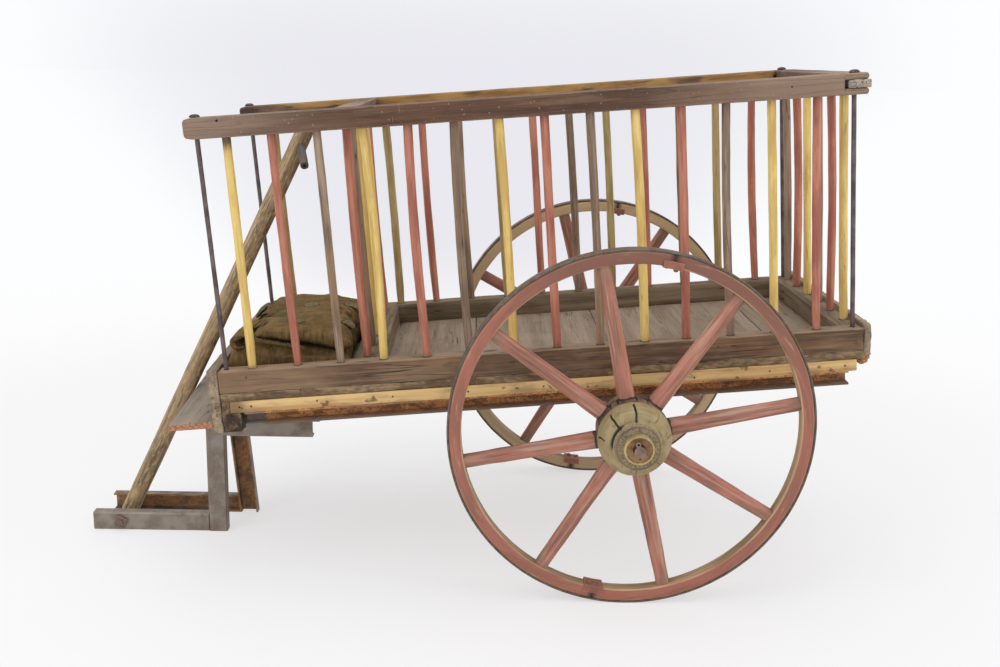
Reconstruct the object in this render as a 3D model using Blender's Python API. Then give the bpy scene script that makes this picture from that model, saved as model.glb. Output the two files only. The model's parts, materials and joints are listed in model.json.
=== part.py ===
"""Two-wheeled cage cart with a driver's seat, standing level on a welded steel parking stand.

Units are metres, +Z is up, +X points to the rear of the cart and -Y to its left side.
The origin lies on the ground at the middle of the whole cart's length and width.
The cage body is nose-down on its axle, so its pieces hang on a tilted empty, cart_frame.
"""
import bpy
import bmesh
from math import asin, atan2, cos, hypot, pi, radians, sin
from mathutils import Matrix, Vector

# Clearance between pieces that touch
GAP = 0.0003

# Wheels
WHEEL_RADIUS = 0.381
TYRE_THICKNESS = 0.004
FELLOE_DEPTH = 0.026
RIM_WIDTH = 0.032
SPOKE_COUNT = 8
SPOKE_ROOT_WIDTH = 0.036
SPOKE_TIP_WIDTH = 0.028
SPOKE_ROOT_THICKNESS = 0.031
SPOKE_TIP_THICKNESS = 0.022
RIM_FACETS = 72
LEFT_WHEEL_TURN = radians(12.0)
RIGHT_WHEEL_TURN = radians(15.0)

# Hub; lengths along the axle start at the hub's inner end
HUB_BODY_CLEARANCE = 0.026
HUB_TO_RIM_OUTER_FACE = 0.084
HUB_TO_SHOULDER = 0.120
HUB_LENGTH = 0.182
HUB_RADIUS = 0.0755
HUB_INNER_RADIUS = 0.050
HUB_NOSE_RADIUS = 0.0425
HUB_BAND_THICKNESS = 0.0025
HUB_BAND_WIDTH = 0.012
BOX_RADIUS = 0.030
BOX_LIP = 0.004
BOX_DEPTH = 0.014
HUB_FACETS = 24

# Clips that hold the felloe joints
CLIP_LENGTH = 0.040
CLIP_THICKNESS = 0.0025
CLIP_REACH = 0.013

# Axle
AXLE_BAR = 0.030
HUB_END_PLAY = 0.001
JOURNAL_RADIUS = 0.0115
JOURNAL_CLEARANCE = 0.0006
AXLE_PAST_HUB = 0.024
LINCHPIN_RADIUS = 0.0022
LINCHPIN_LENGTH = 0.036
LINCHPIN_FROM_END = 0.005

# Cart body, seen from its own level frame with its origin on the axle
NOSE_DOWN = 0.0906
HALF_WIDTH = 0.306
RAIL_WIDTH = 0.044
RAIL_HEIGHT = 0.043
RAIL_BOTTOM = 0.644
RAIL_FRONT = -0.864
RAIL_REAR = 0.519
SILL_WIDTH = 0.044
SILL_HEIGHT = 0.048
FLOOR_TOP = 0.110
FLOOR_THICKNESS = 0.018
BODY_FRONT = -0.858
SILL_REAR = 0.5125
PARTITION_X = -0.543
PARTITION_SILL_WIDTH = 0.060
PLANK_JOINTS = (-0.687, -0.314, -0.018, 0.348)
STRIP_HEIGHT = 0.025
STRIP_FRONT = -0.840
STRIP_REAR = 0.497
LONGERON_HEIGHT = 0.030
LONGERON_FLANGE = 0.028
LONGERON_INSET = 0.002
LONGERON_WALL = 0.005
LONGERON_FRONT = -0.811
LONGERON_REAR = 0.480
BEARER_WIDTH = 0.040
BEARER_BOTTOM = 0.024
REAR_BEARER_X = -0.721
FRONT_BOARD_THICKNESS = 0.023
FRONT_BOARD_TOP = 0.163
REAR_BOARD_THICKNESS = 0.014
REAR_BOARD_BOTTOM = 0.070
REAR_BOARD_TOP = 0.168
FOOTBOARD_TOP = 0.050
FOOTBOARD_THICKNESS = 0.014
FOOTBOARD_DEPTH_LEFT = 0.092
FOOTBOARD_DEPTH_RIGHT = 0.118

# Cage sticks and the iron rods that tie the rails down
STICK_RADIUS = 0.0093
STICK_COUNT = 14
ROD_TO_FIRST_STICK = 0.058
LAST_STICK_TO_ROD = 0.0755
END_STICK_COUNT = 6
REAR_STICK_MARGINS = (0.0497, 0.0112)
PARTITION_STICK_MARGINS = (0.0147, 0.0462)
STICK_ENTRY = 0.020
ROD_RADIUS = 0.005
ROD_HEAD_RADIUS = 0.0105
ROD_HEAD_HEIGHT = 0.006
ROD_FROM_RAIL_FRONT = 0.022
ROD_FROM_RAIL_REAR = 0.025
TENON_HEIGHT = 0.016
TENON_LENGTH = 0.045
TENON_PROUD = 0.003

# Folded seat cushion
CUSHION_FROM_BODY_FRONT = 0.005
CUSHION_LENGTH = 0.276
CUSHION_LEFT_MARGIN = 0.061
CUSHION_RIGHT_MARGIN = 0.101
CUSHION_HEIGHT = 0.115
CUSHION_ROUNDING = 0.035

# Parking stand: two bent frames of channel that stand on the ground
CHANNEL_HEIGHT = 0.044
CHANNEL_FLANGE = 0.025
CHANNEL_WALL = 0.005
CHANNEL_ROUNDING = 0.003
STAND_FACE = 0.0725
PACKING_FRONT_HEIGHT = 0.0422
UPPER_ARM_REAR = -0.703
LEFT_ARM_FRONT = -1.228
LEFT_LEG_FOOT = -0.932
LEFT_LEG_HEAD = -0.932
RIGHT_ARM_FRONT = -1.216
RIGHT_LEG_FOOT = -0.884
RIGHT_LEG_HEAD = -0.907
PACKING_WIDTH = 0.044

# Tongue: a round pole on a bolt through the stand's feet
PIVOT_X = -1.162
POLE_RADIUS = 0.0205
POLE_LENGTH = 1.035
POLE_REST_GAP = 0.0005
PEG_FROM_TOP = 0.035
PEG_RADIUS = 0.0095
PEG_REACH = 0.095
PEG_DROOP = radians(30.0)
PEG_TURN = radians(15.0)
BOLT_RADIUS = 0.006
BOLT_CLEARANCE = 0.0003
BOLT_COLLAR_RADIUS = 0.011
BOLT_HEAD_ACROSS = 0.025
BOLT_HEAD_HEIGHT = 0.008
BOLT_HEAD_TURN = radians(20.0)
BOLT_END_LENGTH = 0.004

# Values that several pieces share
SILL_TOP = FLOOR_TOP + SILL_HEIGHT
SILL_BOTTOM = FLOOR_TOP + GAP
RAIL_TOP = RAIL_BOTTOM + RAIL_HEIGHT
RAIL_CENTRE_Y = HALF_WIDTH - RAIL_WIDTH / 2
FLOOR_BOTTOM = FLOOR_TOP - FLOOR_THICKNESS
STRIP_TOP = FLOOR_BOTTOM - GAP
STRIP_BOTTOM = STRIP_TOP - STRIP_HEIGHT
LONGERON_TOP = STRIP_BOTTOM - GAP
LONGERON_BOTTOM = LONGERON_TOP - LONGERON_HEIGHT
FELLOE_OUTER = WHEEL_RADIUS - TYRE_THICKNESS - GAP
FELLOE_INNER = FELLOE_OUTER - FELLOE_DEPTH
HUB_INNER_END = HALF_WIDTH + HUB_BODY_CLEARANCE
HUB_SHOULDER = HUB_INNER_END + HUB_TO_SHOULDER
HUB_NOSE_END = HUB_INNER_END + HUB_LENGTH
RIM_OUTER_FACE = HUB_INNER_END + HUB_TO_RIM_OUTER_FACE
RIM_CENTRE = RIM_OUTER_FACE - RIM_WIDTH / 2
BORE_RADIUS = JOURNAL_RADIUS + JOURNAL_CLEARANCE
AXLE_SHOULDER = HUB_INNER_END - HUB_END_PLAY
AXLE_END = HUB_NOSE_END + AXLE_PAST_HUB
END_RAIL_HALF = HALF_WIDTH - RAIL_WIDTH - GAP
ROD_FRONT_X = RAIL_FRONT + ROD_FROM_RAIL_FRONT
ROD_REAR_X = RAIL_REAR - ROD_FROM_RAIL_REAR
STICK_FIRST_X = ROD_FRONT_X + ROD_TO_FIRST_STICK
STICK_LAST_X = ROD_REAR_X - LAST_STICK_TO_ROD
CUSHION_FRONT = BODY_FRONT + CUSHION_FROM_BODY_FRONT
STAND_FRONT = min(LEFT_ARM_FRONT, RIGHT_ARM_FRONT)


def body_to_ground(x, z):
    """Place a point of the tilted body in the upright frame, measured from below the axle."""
    return (x * cos(NOSE_DOWN) - z * sin(NOSE_DOWN),
            WHEEL_RADIUS + x * sin(NOSE_DOWN) + z * cos(NOSE_DOWN))


STAND_TOP = body_to_ground(BODY_FRONT + GAP, BEARER_BOTTOM - GAP)[1] - GAP - PACKING_FRONT_HEIGHT
REAR_BOARD_REAR = SILL_REAR + GAP + REAR_BOARD_THICKNESS
REAR_END = body_to_ground(REAR_BOARD_REAR, REAR_BOARD_BOTTOM)[0]
AXLE_X = -(STAND_FRONT + REAR_END) / 2


def clear_scene():
    for old in list(bpy.data.objects):
        bpy.data.objects.remove(old, do_unlink=True)


def material(name, colour, roughness, metallic=0.0):
    made = bpy.data.materials.new(name)
    made.use_nodes = True
    shader = made.node_tree.nodes["Principled BSDF"]
    shader.inputs["Base Color"].default_value = (*colour, 1.0)
    shader.inputs["Roughness"].default_value = roughness
    shader.inputs["Metallic"].default_value = metallic
    made.diffuse_color = (*colour, 1.0)
    return made


def add_empty(name, location, rotation=(0.0, 0.0, 0.0), parent=None):
    empty = bpy.data.objects.new(name, None)
    empty.location = location
    empty.rotation_euler = rotation
    empty.parent = parent
    bpy.context.scene.collection.objects.link(empty)
    return empty


def add_piece(name, mesh_data, finish, parent=None, location=(0.0, 0.0, 0.0), rotation=(0.0, 0.0, 0.0)):
    """Wrap a bmesh as one named piece with outward faces and its own material."""
    bmesh.ops.recalc_face_normals(mesh_data, faces=mesh_data.faces)
    mesh = bpy.data.meshes.new(name)
    mesh_data.to_mesh(mesh)
    mesh_data.free()
    mesh.shade_smooth()
    mesh.set_sharp_from_angle(angle=radians(35))
    piece = bpy.data.objects.new(name, mesh)
    piece.location = location
    piece.rotation_euler = rotation
    piece.parent = parent
    if finish:
        mesh.materials.append(finish)
    bpy.context.scene.collection.objects.link(piece)
    return piece


def make_guide(piece):
    piece.hide_render = True
    piece.display_type = 'WIRE'
    return piece


def boolean(piece, other, operation):
    change = piece.modifiers.new(operation.title(), 'BOOLEAN')
    change.operation = operation
    change.object = other


def bevel(piece, width, segments=1):
    edges = piece.modifiers.new("Eased edges", 'BEVEL')
    edges.width = width
    edges.segments = segments
    edges.limit_method = 'ANGLE'
    edges.angle_limit = radians(40)


def box_mesh(low, high):
    data = bmesh.new()
    bmesh.ops.create_cube(data, size=1.0)
    size = [h - l for l, h in zip(low, high)]
    centre = [(l + h) / 2 for l, h in zip(low, high)]
    bmesh.ops.scale(data, vec=size, verts=data.verts)
    bmesh.ops.translate(data, vec=centre, verts=data.verts)
    return data


def board(name, x, y, z, finish, parent, ease=0.002):
    """A straight timber between the given x, y and z limits, with eased edges."""
    piece = add_piece(name, box_mesh((x[0], y[0], z[0]), (x[1], y[1], z[1])), finish, parent)
    if ease:
        bevel(piece, ease)
    return piece


def prism_mesh(outline, start, end):
    """Extrude an outline of (x, z) points along y, from start to end."""
    data = bmesh.new()
    near = [data.verts.new((x, start, z)) for x, z in outline]
    far = [data.verts.new((x, end, z)) for x, z in outline]
    data.faces.new(near)
    data.faces.new(list(reversed(far)))
    count = len(outline)
    for i in range(count):
        j = (i + 1) % count
        data.faces.new((near[i], far[i], far[j], near[j]))
    return data


def rod_into(data, start, end, radius, facets=10, end_radius=None):
    """Add a closed round rod between two points to a mesh."""
    start, end = Vector(start), Vector(end)
    along = end - start
    turn = along.to_track_quat('Z', 'Y').to_matrix().to_4x4()
    place = Matrix.Translation((start + end) / 2) @ turn
    bmesh.ops.create_cone(data, cap_ends=True, segments=facets, radius1=radius,
                          radius2=radius if end_radius is None else end_radius,
                          depth=along.length, matrix=place)


def turned_mesh(profile, facets, turn=0.0, closed=False):
    """Turn (along, radius) points about the y axis; open ends on the axis are capped."""
    data = bmesh.new()
    rings = []
    for along, radius in profile:
        ring = []
        for i in range(facets):
            angle = turn + 2 * pi * i / facets
            ring.append(data.verts.new((radius * cos(angle), along, radius * sin(angle))))
        rings.append(ring)
    pairs = list(zip(rings, rings[1:]))
    if closed:
        pairs.append((rings[-1], rings[0]))
    for first, second in pairs:
        for i in range(facets):
            j = (i + 1) % facets
            data.faces.new((first[i], first[j], second[j], second[i]))
    if not closed:
        data.faces.new(rings[0])
        data.faces.new(rings[-1])
    return data


def ring_sector_mesh(section, angles):
    """Sweep a closed (along, radius) section about the y axis through a run of angles."""
    data = bmesh.new()
    rings = []
    for angle in angles:
        rings.append([data.verts.new((r * cos(angle), along, r * sin(angle))) for along, r in section])
    count = len(section)
    for first, second in zip(rings, rings[1:]):
        for i in range(count):
            j = (i + 1) % count
            data.faces.new((first[i], first[j], second[j], second[i]))
    data.faces.new(rings[0])
    data.faces.new(rings[-1])
    return data


def stick_row(name, points, parent):
    """Guide mesh: the upright sticks of one cage side, ready to be joined to their rail."""
    data = bmesh.new()
    for x, y in points:
        rod_into(data, (x, y, SILL_TOP + GAP), (x, y, RAIL_BOTTOM + STICK_ENTRY), STICK_RADIUS)
    return make_guide(add_piece(name, data, None, parent))


def grille(name, rail_low, rail_high, points, finish, parent):
    """A top rail with the sticks that it holds."""
    rail = board(name, *zip(rail_low, rail_high), finish, parent, ease=0.003)
    sticks = stick_row(name + "_sticks", points, parent)
    boolean(rail, sticks, 'UNION')
    return rail


def side_stick_points(side):
    pitch = (STICK_LAST_X - STICK_FIRST_X) / (STICK_COUNT - 1)
    return [(STICK_FIRST_X + pitch * i, side * RAIL_CENTRE_Y) for i in range(STICK_COUNT)]


def end_stick_points(x, margins):
    """A row across the cage, spaced evenly between its margins from the two side rails."""
    first = -END_RAIL_HALF + margins[0]
    pitch = (END_RAIL_HALF - margins[1] - first) / (END_STICK_COUNT - 1)
    return [(x, first + pitch * i) for i in range(END_STICK_COUNT)]


def rod_hole(name, x, y, parent):
    """Guide mesh: the drilled hole of a tie rod through a rail and a sill."""
    data = bmesh.new()
    rod_into(data, (x, y, SILL_BOTTOM - 0.01), (x, y, RAIL_TOP + 0.01), ROD_RADIUS + GAP, 12)
    return make_guide(add_piece(name, data, None, parent))


def tie_rod(name, x, y, finish, parent):
    """Iron rod with a low domed head on the rail; its foot is let into the sill."""
    facets = 12
    head = RAIL_TOP + GAP
    profile = [(SILL_BOTTOM, ROD_RADIUS), (head, ROD_RADIUS), (head, ROD_HEAD_RADIUS),
               (head + ROD_HEAD_HEIGHT * 0.5, ROD_HEAD_RADIUS), (head + ROD_HEAD_HEIGHT, ROD_HEAD_RADIUS * 0.55)]
    data = turned_mesh(profile, facets)
    bmesh.ops.rotate(data, verts=data.verts, cent=(0, 0, 0), matrix=Matrix.Rotation(pi / 2, 3, 'X'))
    return add_piece(name, data, finish, parent, location=(x, y, 0.0))


def cage(frame, wood, iron):
    """Rails, sills and the four barred sides."""
    rear_rail_x = (RAIL_REAR - TENON_LENGTH, RAIL_REAR)
    inner_y = END_RAIL_HALF
    rear_stick_x = sum(rear_rail_x) / 2
    mid_z = RAIL_BOTTOM + RAIL_HEIGHT / 2

    tenon = make_guide(add_piece("rear_tenon", box_mesh(
        (rear_rail_x[0] + 0.001, -HALF_WIDTH - TENON_PROUD, mid_z - TENON_HEIGHT / 2),
        (RAIL_REAR + TENON_PROUD, HALF_WIDTH + TENON_PROUD, mid_z + TENON_HEIGHT / 2)), None, frame))
    rear = grille("rear_grille", (rear_rail_x[0], -inner_y, RAIL_BOTTOM), (RAIL_REAR, inner_y, RAIL_TOP),
                  end_stick_points(rear_stick_x, REAR_STICK_MARGINS), wood, frame)
    boolean(rear, tenon, 'UNION')

    mortise = make_guide(add_piece("rail_mortise", box_mesh(
        (rear_rail_x[0] - 0.004, -HALF_WIDTH - 0.01, mid_z - TENON_HEIGHT / 2 - GAP),
        (RAIL_REAR + 0.01, HALF_WIDTH + 0.01, mid_z + TENON_HEIGHT / 2 + GAP)), None, frame))

    partition_half = RAIL_WIDTH / 2
    grille("partition_grille", (PARTITION_X - partition_half, -inner_y, RAIL_BOTTOM),
           (PARTITION_X + partition_half, inner_y, RAIL_TOP),
           end_stick_points(PARTITION_X, PARTITION_STICK_MARGINS), wood, frame)

    sill_inner = HALF_WIDTH - SILL_WIDTH - GAP
    for side, name in ((-1, "left"), (1, "right")):
        low, high = sorted((side * HALF_WIDTH, side * (HALF_WIDTH - RAIL_WIDTH)))
        rail = grille(name + "_grille", (RAIL_FRONT, low, RAIL_BOTTOM), (RAIL_REAR, high, RAIL_TOP),
                      side_stick_points(side), wood, frame)
        boolean(rail, mortise, 'DIFFERENCE')
        low, high = sorted((side * HALF_WIDTH, side * (HALF_WIDTH - SILL_WIDTH)))
        sill = board(name + "_sill", (BODY_FRONT + GAP, SILL_REAR), (low, high),
                     (SILL_BOTTOM, SILL_TOP), wood, frame)
        for end, x in (("front", ROD_FRONT_X), ("rear", ROD_REAR_X)):
            y = side * RAIL_CENTRE_Y
            hole = rod_hole(f"{end}_{name}_rod_hole", x, y, frame)
            boolean(rail, hole, 'DIFFERENCE')
            boolean(sill, hole, 'DIFFERENCE')
            if end == "rear":
                boolean(rear, hole, 'DIFFERENCE')
            tie_rod(f"{end}_{name}_tie_rod", x, y, iron, frame)

    board("rear_sill", (SILL_REAR - SILL_WIDTH, SILL_REAR), (-sill_inner, sill_inner),
          (SILL_BOTTOM, SILL_TOP), wood, frame)
    half = PARTITION_SILL_WIDTH / 2
    board("partition_sill", (PARTITION_X - half, PARTITION_X + half), (-sill_inner, sill_inner),
          (SILL_BOTTOM, SILL_TOP), wood, frame)


def floor(frame, wood, pale_wood, steel):
    """Cross planks, the strips and steel longerons under them, bearers and end boards."""
    ends = (BODY_FRONT,) + PLANK_JOINTS + (SILL_REAR,)
    for number, (front, rear) in enumerate(zip(ends, ends[1:]), start=1):
        board(f"floor_plank_{number}", (front + GAP, rear), (-HALF_WIDTH, HALF_WIDTH),
              (FLOOR_BOTTOM, FLOOR_TOP), wood, frame, ease=0.001)

    for side, name in ((-1, "left"), (1, "right")):
        low, high = sorted((side * HALF_WIDTH, side * (HALF_WIDTH - SILL_WIDTH)))
        board(name + "_strip", (STRIP_FRONT + GAP, STRIP_REAR), (low, high),
              (STRIP_BOTTOM, STRIP_TOP), pale_wood, frame, ease=0.001)
        longeron(name + "_longeron", side, steel, frame)

    notch_x = STRIP_FRONT
    rear = BODY_FRONT + BEARER_WIDTH
    outline = [(BODY_FRONT + GAP, BEARER_BOTTOM), (rear, BEARER_BOTTOM), (rear, STRIP_BOTTOM - GAP),
               (notch_x, STRIP_BOTTOM - GAP), (notch_x, STRIP_TOP), (BODY_FRONT + GAP, STRIP_TOP)]
    bevel(add_piece("front_bearer", prism_mesh(outline, -HALF_WIDTH, HALF_WIDTH), wood, frame), 0.0015)

    inner = HALF_WIDTH - SILL_WIDTH - GAP
    board("stand_bearer", (REAR_BEARER_X - BEARER_WIDTH / 2, REAR_BEARER_X + BEARER_WIDTH / 2),
          (-inner, inner), (BEARER_BOTTOM, STRIP_TOP), wood, frame)

    board("front_board", (BODY_FRONT - FRONT_BOARD_THICKNESS, BODY_FRONT), (-HALF_WIDTH, HALF_WIDTH),
          (BEARER_BOTTOM, FRONT_BOARD_TOP), wood, frame, ease=0.0015)
    board("rear_board", (SILL_REAR + GAP, REAR_BOARD_REAR), (-HALF_WIDTH, HALF_WIDTH),
          (REAR_BOARD_BOTTOM, REAR_BOARD_TOP), wood, frame, ease=0.0015)
    footboard(frame, wood)


def longeron(name, side, steel, frame):
    """Rolled steel channel under the floor, its open side outward."""
    outer = HALF_WIDTH - LONGERON_INSET
    inner = outer - LONGERON_FLANGE
    top, bottom, wall = LONGERON_TOP, LONGERON_BOTTOM, LONGERON_WALL
    outline = [(inner, bottom), (outer, bottom), (outer, bottom + wall * 0.8), (inner + wall, bottom + wall),
               (inner + wall, top - wall), (outer, top - wall * 0.8), (outer, top), (inner, top)]
    data = prism_mesh(outline, LONGERON_FRONT, LONGERON_REAR)
    swap = Matrix(((0, 1, 0), (side, 0, 0), (0, 0, 1)))
    bmesh.ops.transform(data, matrix=swap.to_4x4(), verts=data.verts)
    add_piece(name, data, steel, frame)


def footboard(frame, wood):
    """Thin foot rest in front of the seat, cut a little wider at its right end."""
    back = BODY_FRONT - FRONT_BOARD_THICKNESS - GAP
    data = bmesh.new()
    low, high = FOOTBOARD_TOP - FOOTBOARD_THICKNESS, FOOTBOARD_TOP
    plan = [(back, -HALF_WIDTH), (back, HALF_WIDTH),
            (back - FOOTBOARD_DEPTH_RIGHT, HALF_WIDTH), (back - FOOTBOARD_DEPTH_LEFT, -HALF_WIDTH)]
    lower = [data.verts.new((x, y, low)) for x, y in plan]
    upper = [data.verts.new((x, y, high)) for x, y in plan]
    data.faces.new(lower)
    data.faces.new(upper)
    for i in range(4):
        j = (i + 1) % 4
        data.faces.new((lower[i], lower[j], upper[j], upper[i]))
    add_piece("footboard", data, wood, frame)


def footboard_front():
    """Body-frame x of the footboard's front edge at the cart's middle, where the pole leans."""
    back = BODY_FRONT - FRONT_BOARD_THICKNESS - GAP
    return back - (FOOTBOARD_DEPTH_LEFT + FOOTBOARD_DEPTH_RIGHT) / 2


def cushion(frame, cloth):
    across = (-HALF_WIDTH + CUSHION_LEFT_MARGIN, HALF_WIDTH - CUSHION_RIGHT_MARGIN)
    piece = board("seat_cushion", (CUSHION_FRONT, CUSHION_FRONT + CUSHION_LENGTH), across,
                  (FLOOR_TOP + GAP, FLOOR_TOP + GAP + CUSHION_HEIGHT), cloth, frame, ease=0)
    bevel(piece, CUSHION_ROUNDING, segments=3)


def axle(frame, iron, wood):
    """Square axle bar with round journals, and the packing between it and the longerons."""
    half = AXLE_BAR / 2
    bar = add_piece("axle", box_mesh((-half, -AXLE_SHOULDER, -half), (half, AXLE_SHOULDER, half)), iron, frame)
    journal = make_guide(add_piece("axle_journals", turned_mesh(
        [(-AXLE_END, JOURNAL_RADIUS), (AXLE_END, JOURNAL_RADIUS)], HUB_FACETS), None, frame))
    boolean(bar, journal, 'UNION')
    outer = HALF_WIDTH - LONGERON_INSET
    for side, name in ((-1, "left"), (1, "right")):
        linchpin(name, side, bar, iron, frame)
        low, high = sorted((side * outer, side * (outer - SILL_WIDTH)))
        board(name + "_axle_block", (-half - 0.02, half + 0.02), (low, high),
              (half + GAP, LONGERON_BOTTOM - GAP), wood, frame, ease=0.001)


def linchpin(name, side, bar, iron, frame):
    """Small upright pin through the axle's end, which keeps the wheel on."""
    y = side * (AXLE_END - LINCHPIN_FROM_END)
    reach = LINCHPIN_LENGTH / 2
    hole = bmesh.new()
    rod_into(hole, (0.0, y, -reach), (0.0, y, reach), LINCHPIN_RADIUS + GAP)
    boolean(bar, make_guide(add_piece(name + "_linchpin_hole", hole, None, frame)), 'DIFFERENCE')
    pin = bmesh.new()
    rod_into(pin, (0.0, y, -reach), (0.0, y, reach), LINCHPIN_RADIUS)
    add_piece(name + "_linchpin", pin, iron, frame)


def hub_profile():
    """Turned shape of the hub from its inner end to the nose, as (along, radius) points."""
    return [(HUB_INNER_END, HUB_INNER_RADIUS), (HUB_INNER_END + 0.034, HUB_INNER_RADIUS + 0.010),
            (RIM_CENTRE - 0.017, HUB_RADIUS - 0.0055), (RIM_CENTRE + 0.017, HUB_RADIUS - 0.001),
            (HUB_SHOULDER, HUB_RADIUS), (HUB_SHOULDER + 0.012, HUB_RADIUS - 0.004),
            (HUB_SHOULDER + 0.030, HUB_RADIUS - 0.014), (HUB_SHOULDER + 0.043, HUB_RADIUS - 0.0255),
            (HUB_NOSE_END - HUB_BAND_WIDTH - GAP, HUB_NOSE_RADIUS + HUB_BAND_THICKNESS),
            (HUB_NOSE_END - HUB_BAND_WIDTH - GAP, HUB_NOSE_RADIUS),
            (HUB_NOSE_END, HUB_NOSE_RADIUS), (HUB_NOSE_END, BORE_RADIUS), (HUB_INNER_END, BORE_RADIUS)]


def spoke_into(data, angle):
    """One tapered oval spoke from inside the hub to the felloe's inner facet."""
    facets = 10
    stations = ((HUB_RADIUS - 0.02, SPOKE_ROOT_WIDTH, SPOKE_ROOT_THICKNESS),
                (HUB_RADIUS + 0.02, SPOKE_ROOT_WIDTH, SPOKE_ROOT_THICKNESS),
                ((HUB_RADIUS + FELLOE_INNER) / 2, SPOKE_ROOT_WIDTH * 0.42 + SPOKE_TIP_WIDTH * 0.5,
                 SPOKE_ROOT_THICKNESS * 0.42 + SPOKE_TIP_THICKNESS * 0.5),
                (FELLOE_INNER * cos(pi / RIM_FACETS) - GAP, SPOKE_TIP_WIDTH, SPOKE_TIP_THICKNESS))
    radial = Vector((cos(angle), 0, sin(angle)))
    across = Vector((-sin(angle), 0, cos(angle)))
    rings = []
    for distance, width, thickness in stations:
        ring = []
        for i in range(facets):
            step = 2 * pi * (i + 0.5) / facets
            point = radial * distance + across * (cos(step) * width / 2)
            ring.append(data.verts.new((point.x, RIM_CENTRE + sin(step) * thickness / 2, point.z)))
        rings.append(ring)
    for first, second in zip(rings, rings[1:]):
        for i in range(facets):
            j = (i + 1) % facets
            data.faces.new((first[i], first[j], second[j], second[i]))
    data.faces.new(rings[0])
    data.faces.new(rings[-1])


def mirror_to_left(data):
    """The wheels are modelled on the right side; the left one is their mirror image."""
    bmesh.ops.scale(data, vec=(1, -1, 1), verts=data.verts)


def wheel(name, side, turn, finishes):
    """Hub with eight spokes, two bent felloes with their clips, iron tyre, nose band and box."""
    axis = add_empty(name + "_axis", (AXLE_X, 0.0, WHEEL_RADIUS), rotation=(0.0, -turn, 0.0))
    painted, hub_paint, iron = finishes

    def add(part_name, data, finish):
        if side < 0:
            mirror_to_left(data)
        return add_piece(f"{name}_{part_name}", data, finish, axis)

    hub = add("hub", turned_mesh(hub_profile(), HUB_FACETS, closed=True), hub_paint)
    spokes = bmesh.new()
    for i in range(SPOKE_COUNT):
        spoke_into(spokes, 2 * pi * i / SPOKE_COUNT)
    boolean(hub, make_guide(add("spokes", spokes, None)), 'UNION')

    inner_face, outer_face = RIM_CENTRE - RIM_WIDTH / 2, RIM_OUTER_FACE
    ease = 0.004
    felloe_section = [(inner_face, FELLOE_OUTER), (outer_face, FELLOE_OUTER),
                      (outer_face, FELLOE_INNER + ease), (outer_face - ease, FELLOE_INNER),
                      (inner_face + ease, FELLOE_INNER), (inner_face, FELLOE_INNER + ease)]
    facet = 2 * pi / RIM_FACETS
    joint = 3 * pi / SPOKE_COUNT
    joint_gap = GAP / FELLOE_OUTER
    for half, start in (("front", joint), ("rear", joint + pi)):
        angles = [start + facet * i for i in range(RIM_FACETS // 2)] + [start + pi - joint_gap]
        add("felloe_" + half, ring_sector_mesh(felloe_section, angles), painted)

    reach = CLIP_REACH
    near, far = inner_face - GAP, outer_face + GAP
    low = FELLOE_INNER * cos(facet / 2) - GAP
    clip_section = [(near - CLIP_THICKNESS, low - CLIP_THICKNESS), (far + CLIP_THICKNESS, low - CLIP_THICKNESS),
                    (far + CLIP_THICKNESS, low + reach), (far, low + reach), (far, low), (near, low),
                    (near, low + reach), (near - CLIP_THICKNESS, low + reach)]
    spread = CLIP_LENGTH / 2 / FELLOE_INNER
    for half, middle in (("upper", joint), ("lower", joint + pi)):
        add("clip_" + half, ring_sector_mesh(clip_section, [middle - spread, middle, middle + spread]), painted)

    tyre_section = [(inner_face, WHEEL_RADIUS - TYRE_THICKNESS), (outer_face, WHEEL_RADIUS - TYRE_THICKNESS),
                    (outer_face, WHEEL_RADIUS), (inner_face, WHEEL_RADIUS)]
    add("tyre", turned_mesh(tyre_section, RIM_FACETS, turn=facet / 2, closed=True), iron)

    band_start = HUB_NOSE_END - HUB_BAND_WIDTH
    band = [(band_start, HUB_NOSE_RADIUS + GAP), (HUB_NOSE_END, HUB_NOSE_RADIUS + GAP),
            (HUB_NOSE_END, HUB_NOSE_RADIUS + HUB_BAND_THICKNESS), (band_start, HUB_NOSE_RADIUS + HUB_BAND_THICKNESS)]
    add("hub_band", turned_mesh(band, HUB_FACETS, closed=True), iron)

    seat = HUB_NOSE_END + GAP
    box = [(seat, BORE_RADIUS), (seat, BOX_RADIUS), (seat + BOX_DEPTH, BOX_RADIUS),
           (seat + BOX_DEPTH, BOX_RADIUS - BOX_LIP), (seat + BOX_DEPTH * 0.45, BORE_RADIUS + 0.004),
           (seat + BOX_DEPTH * 0.45, BORE_RADIUS)]
    add("hub_box", turned_mesh(box, HUB_FACETS, closed=True), hub_paint)


def cut_run(start, run, along, across, cut_point, cut_face):
    """Where a line beside a straight run meets a cut, all in the upright x-z plane."""
    point = start + across * along
    return point + run * ((cut_point - point).dot(cut_face) / run.dot(cut_face))


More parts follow.
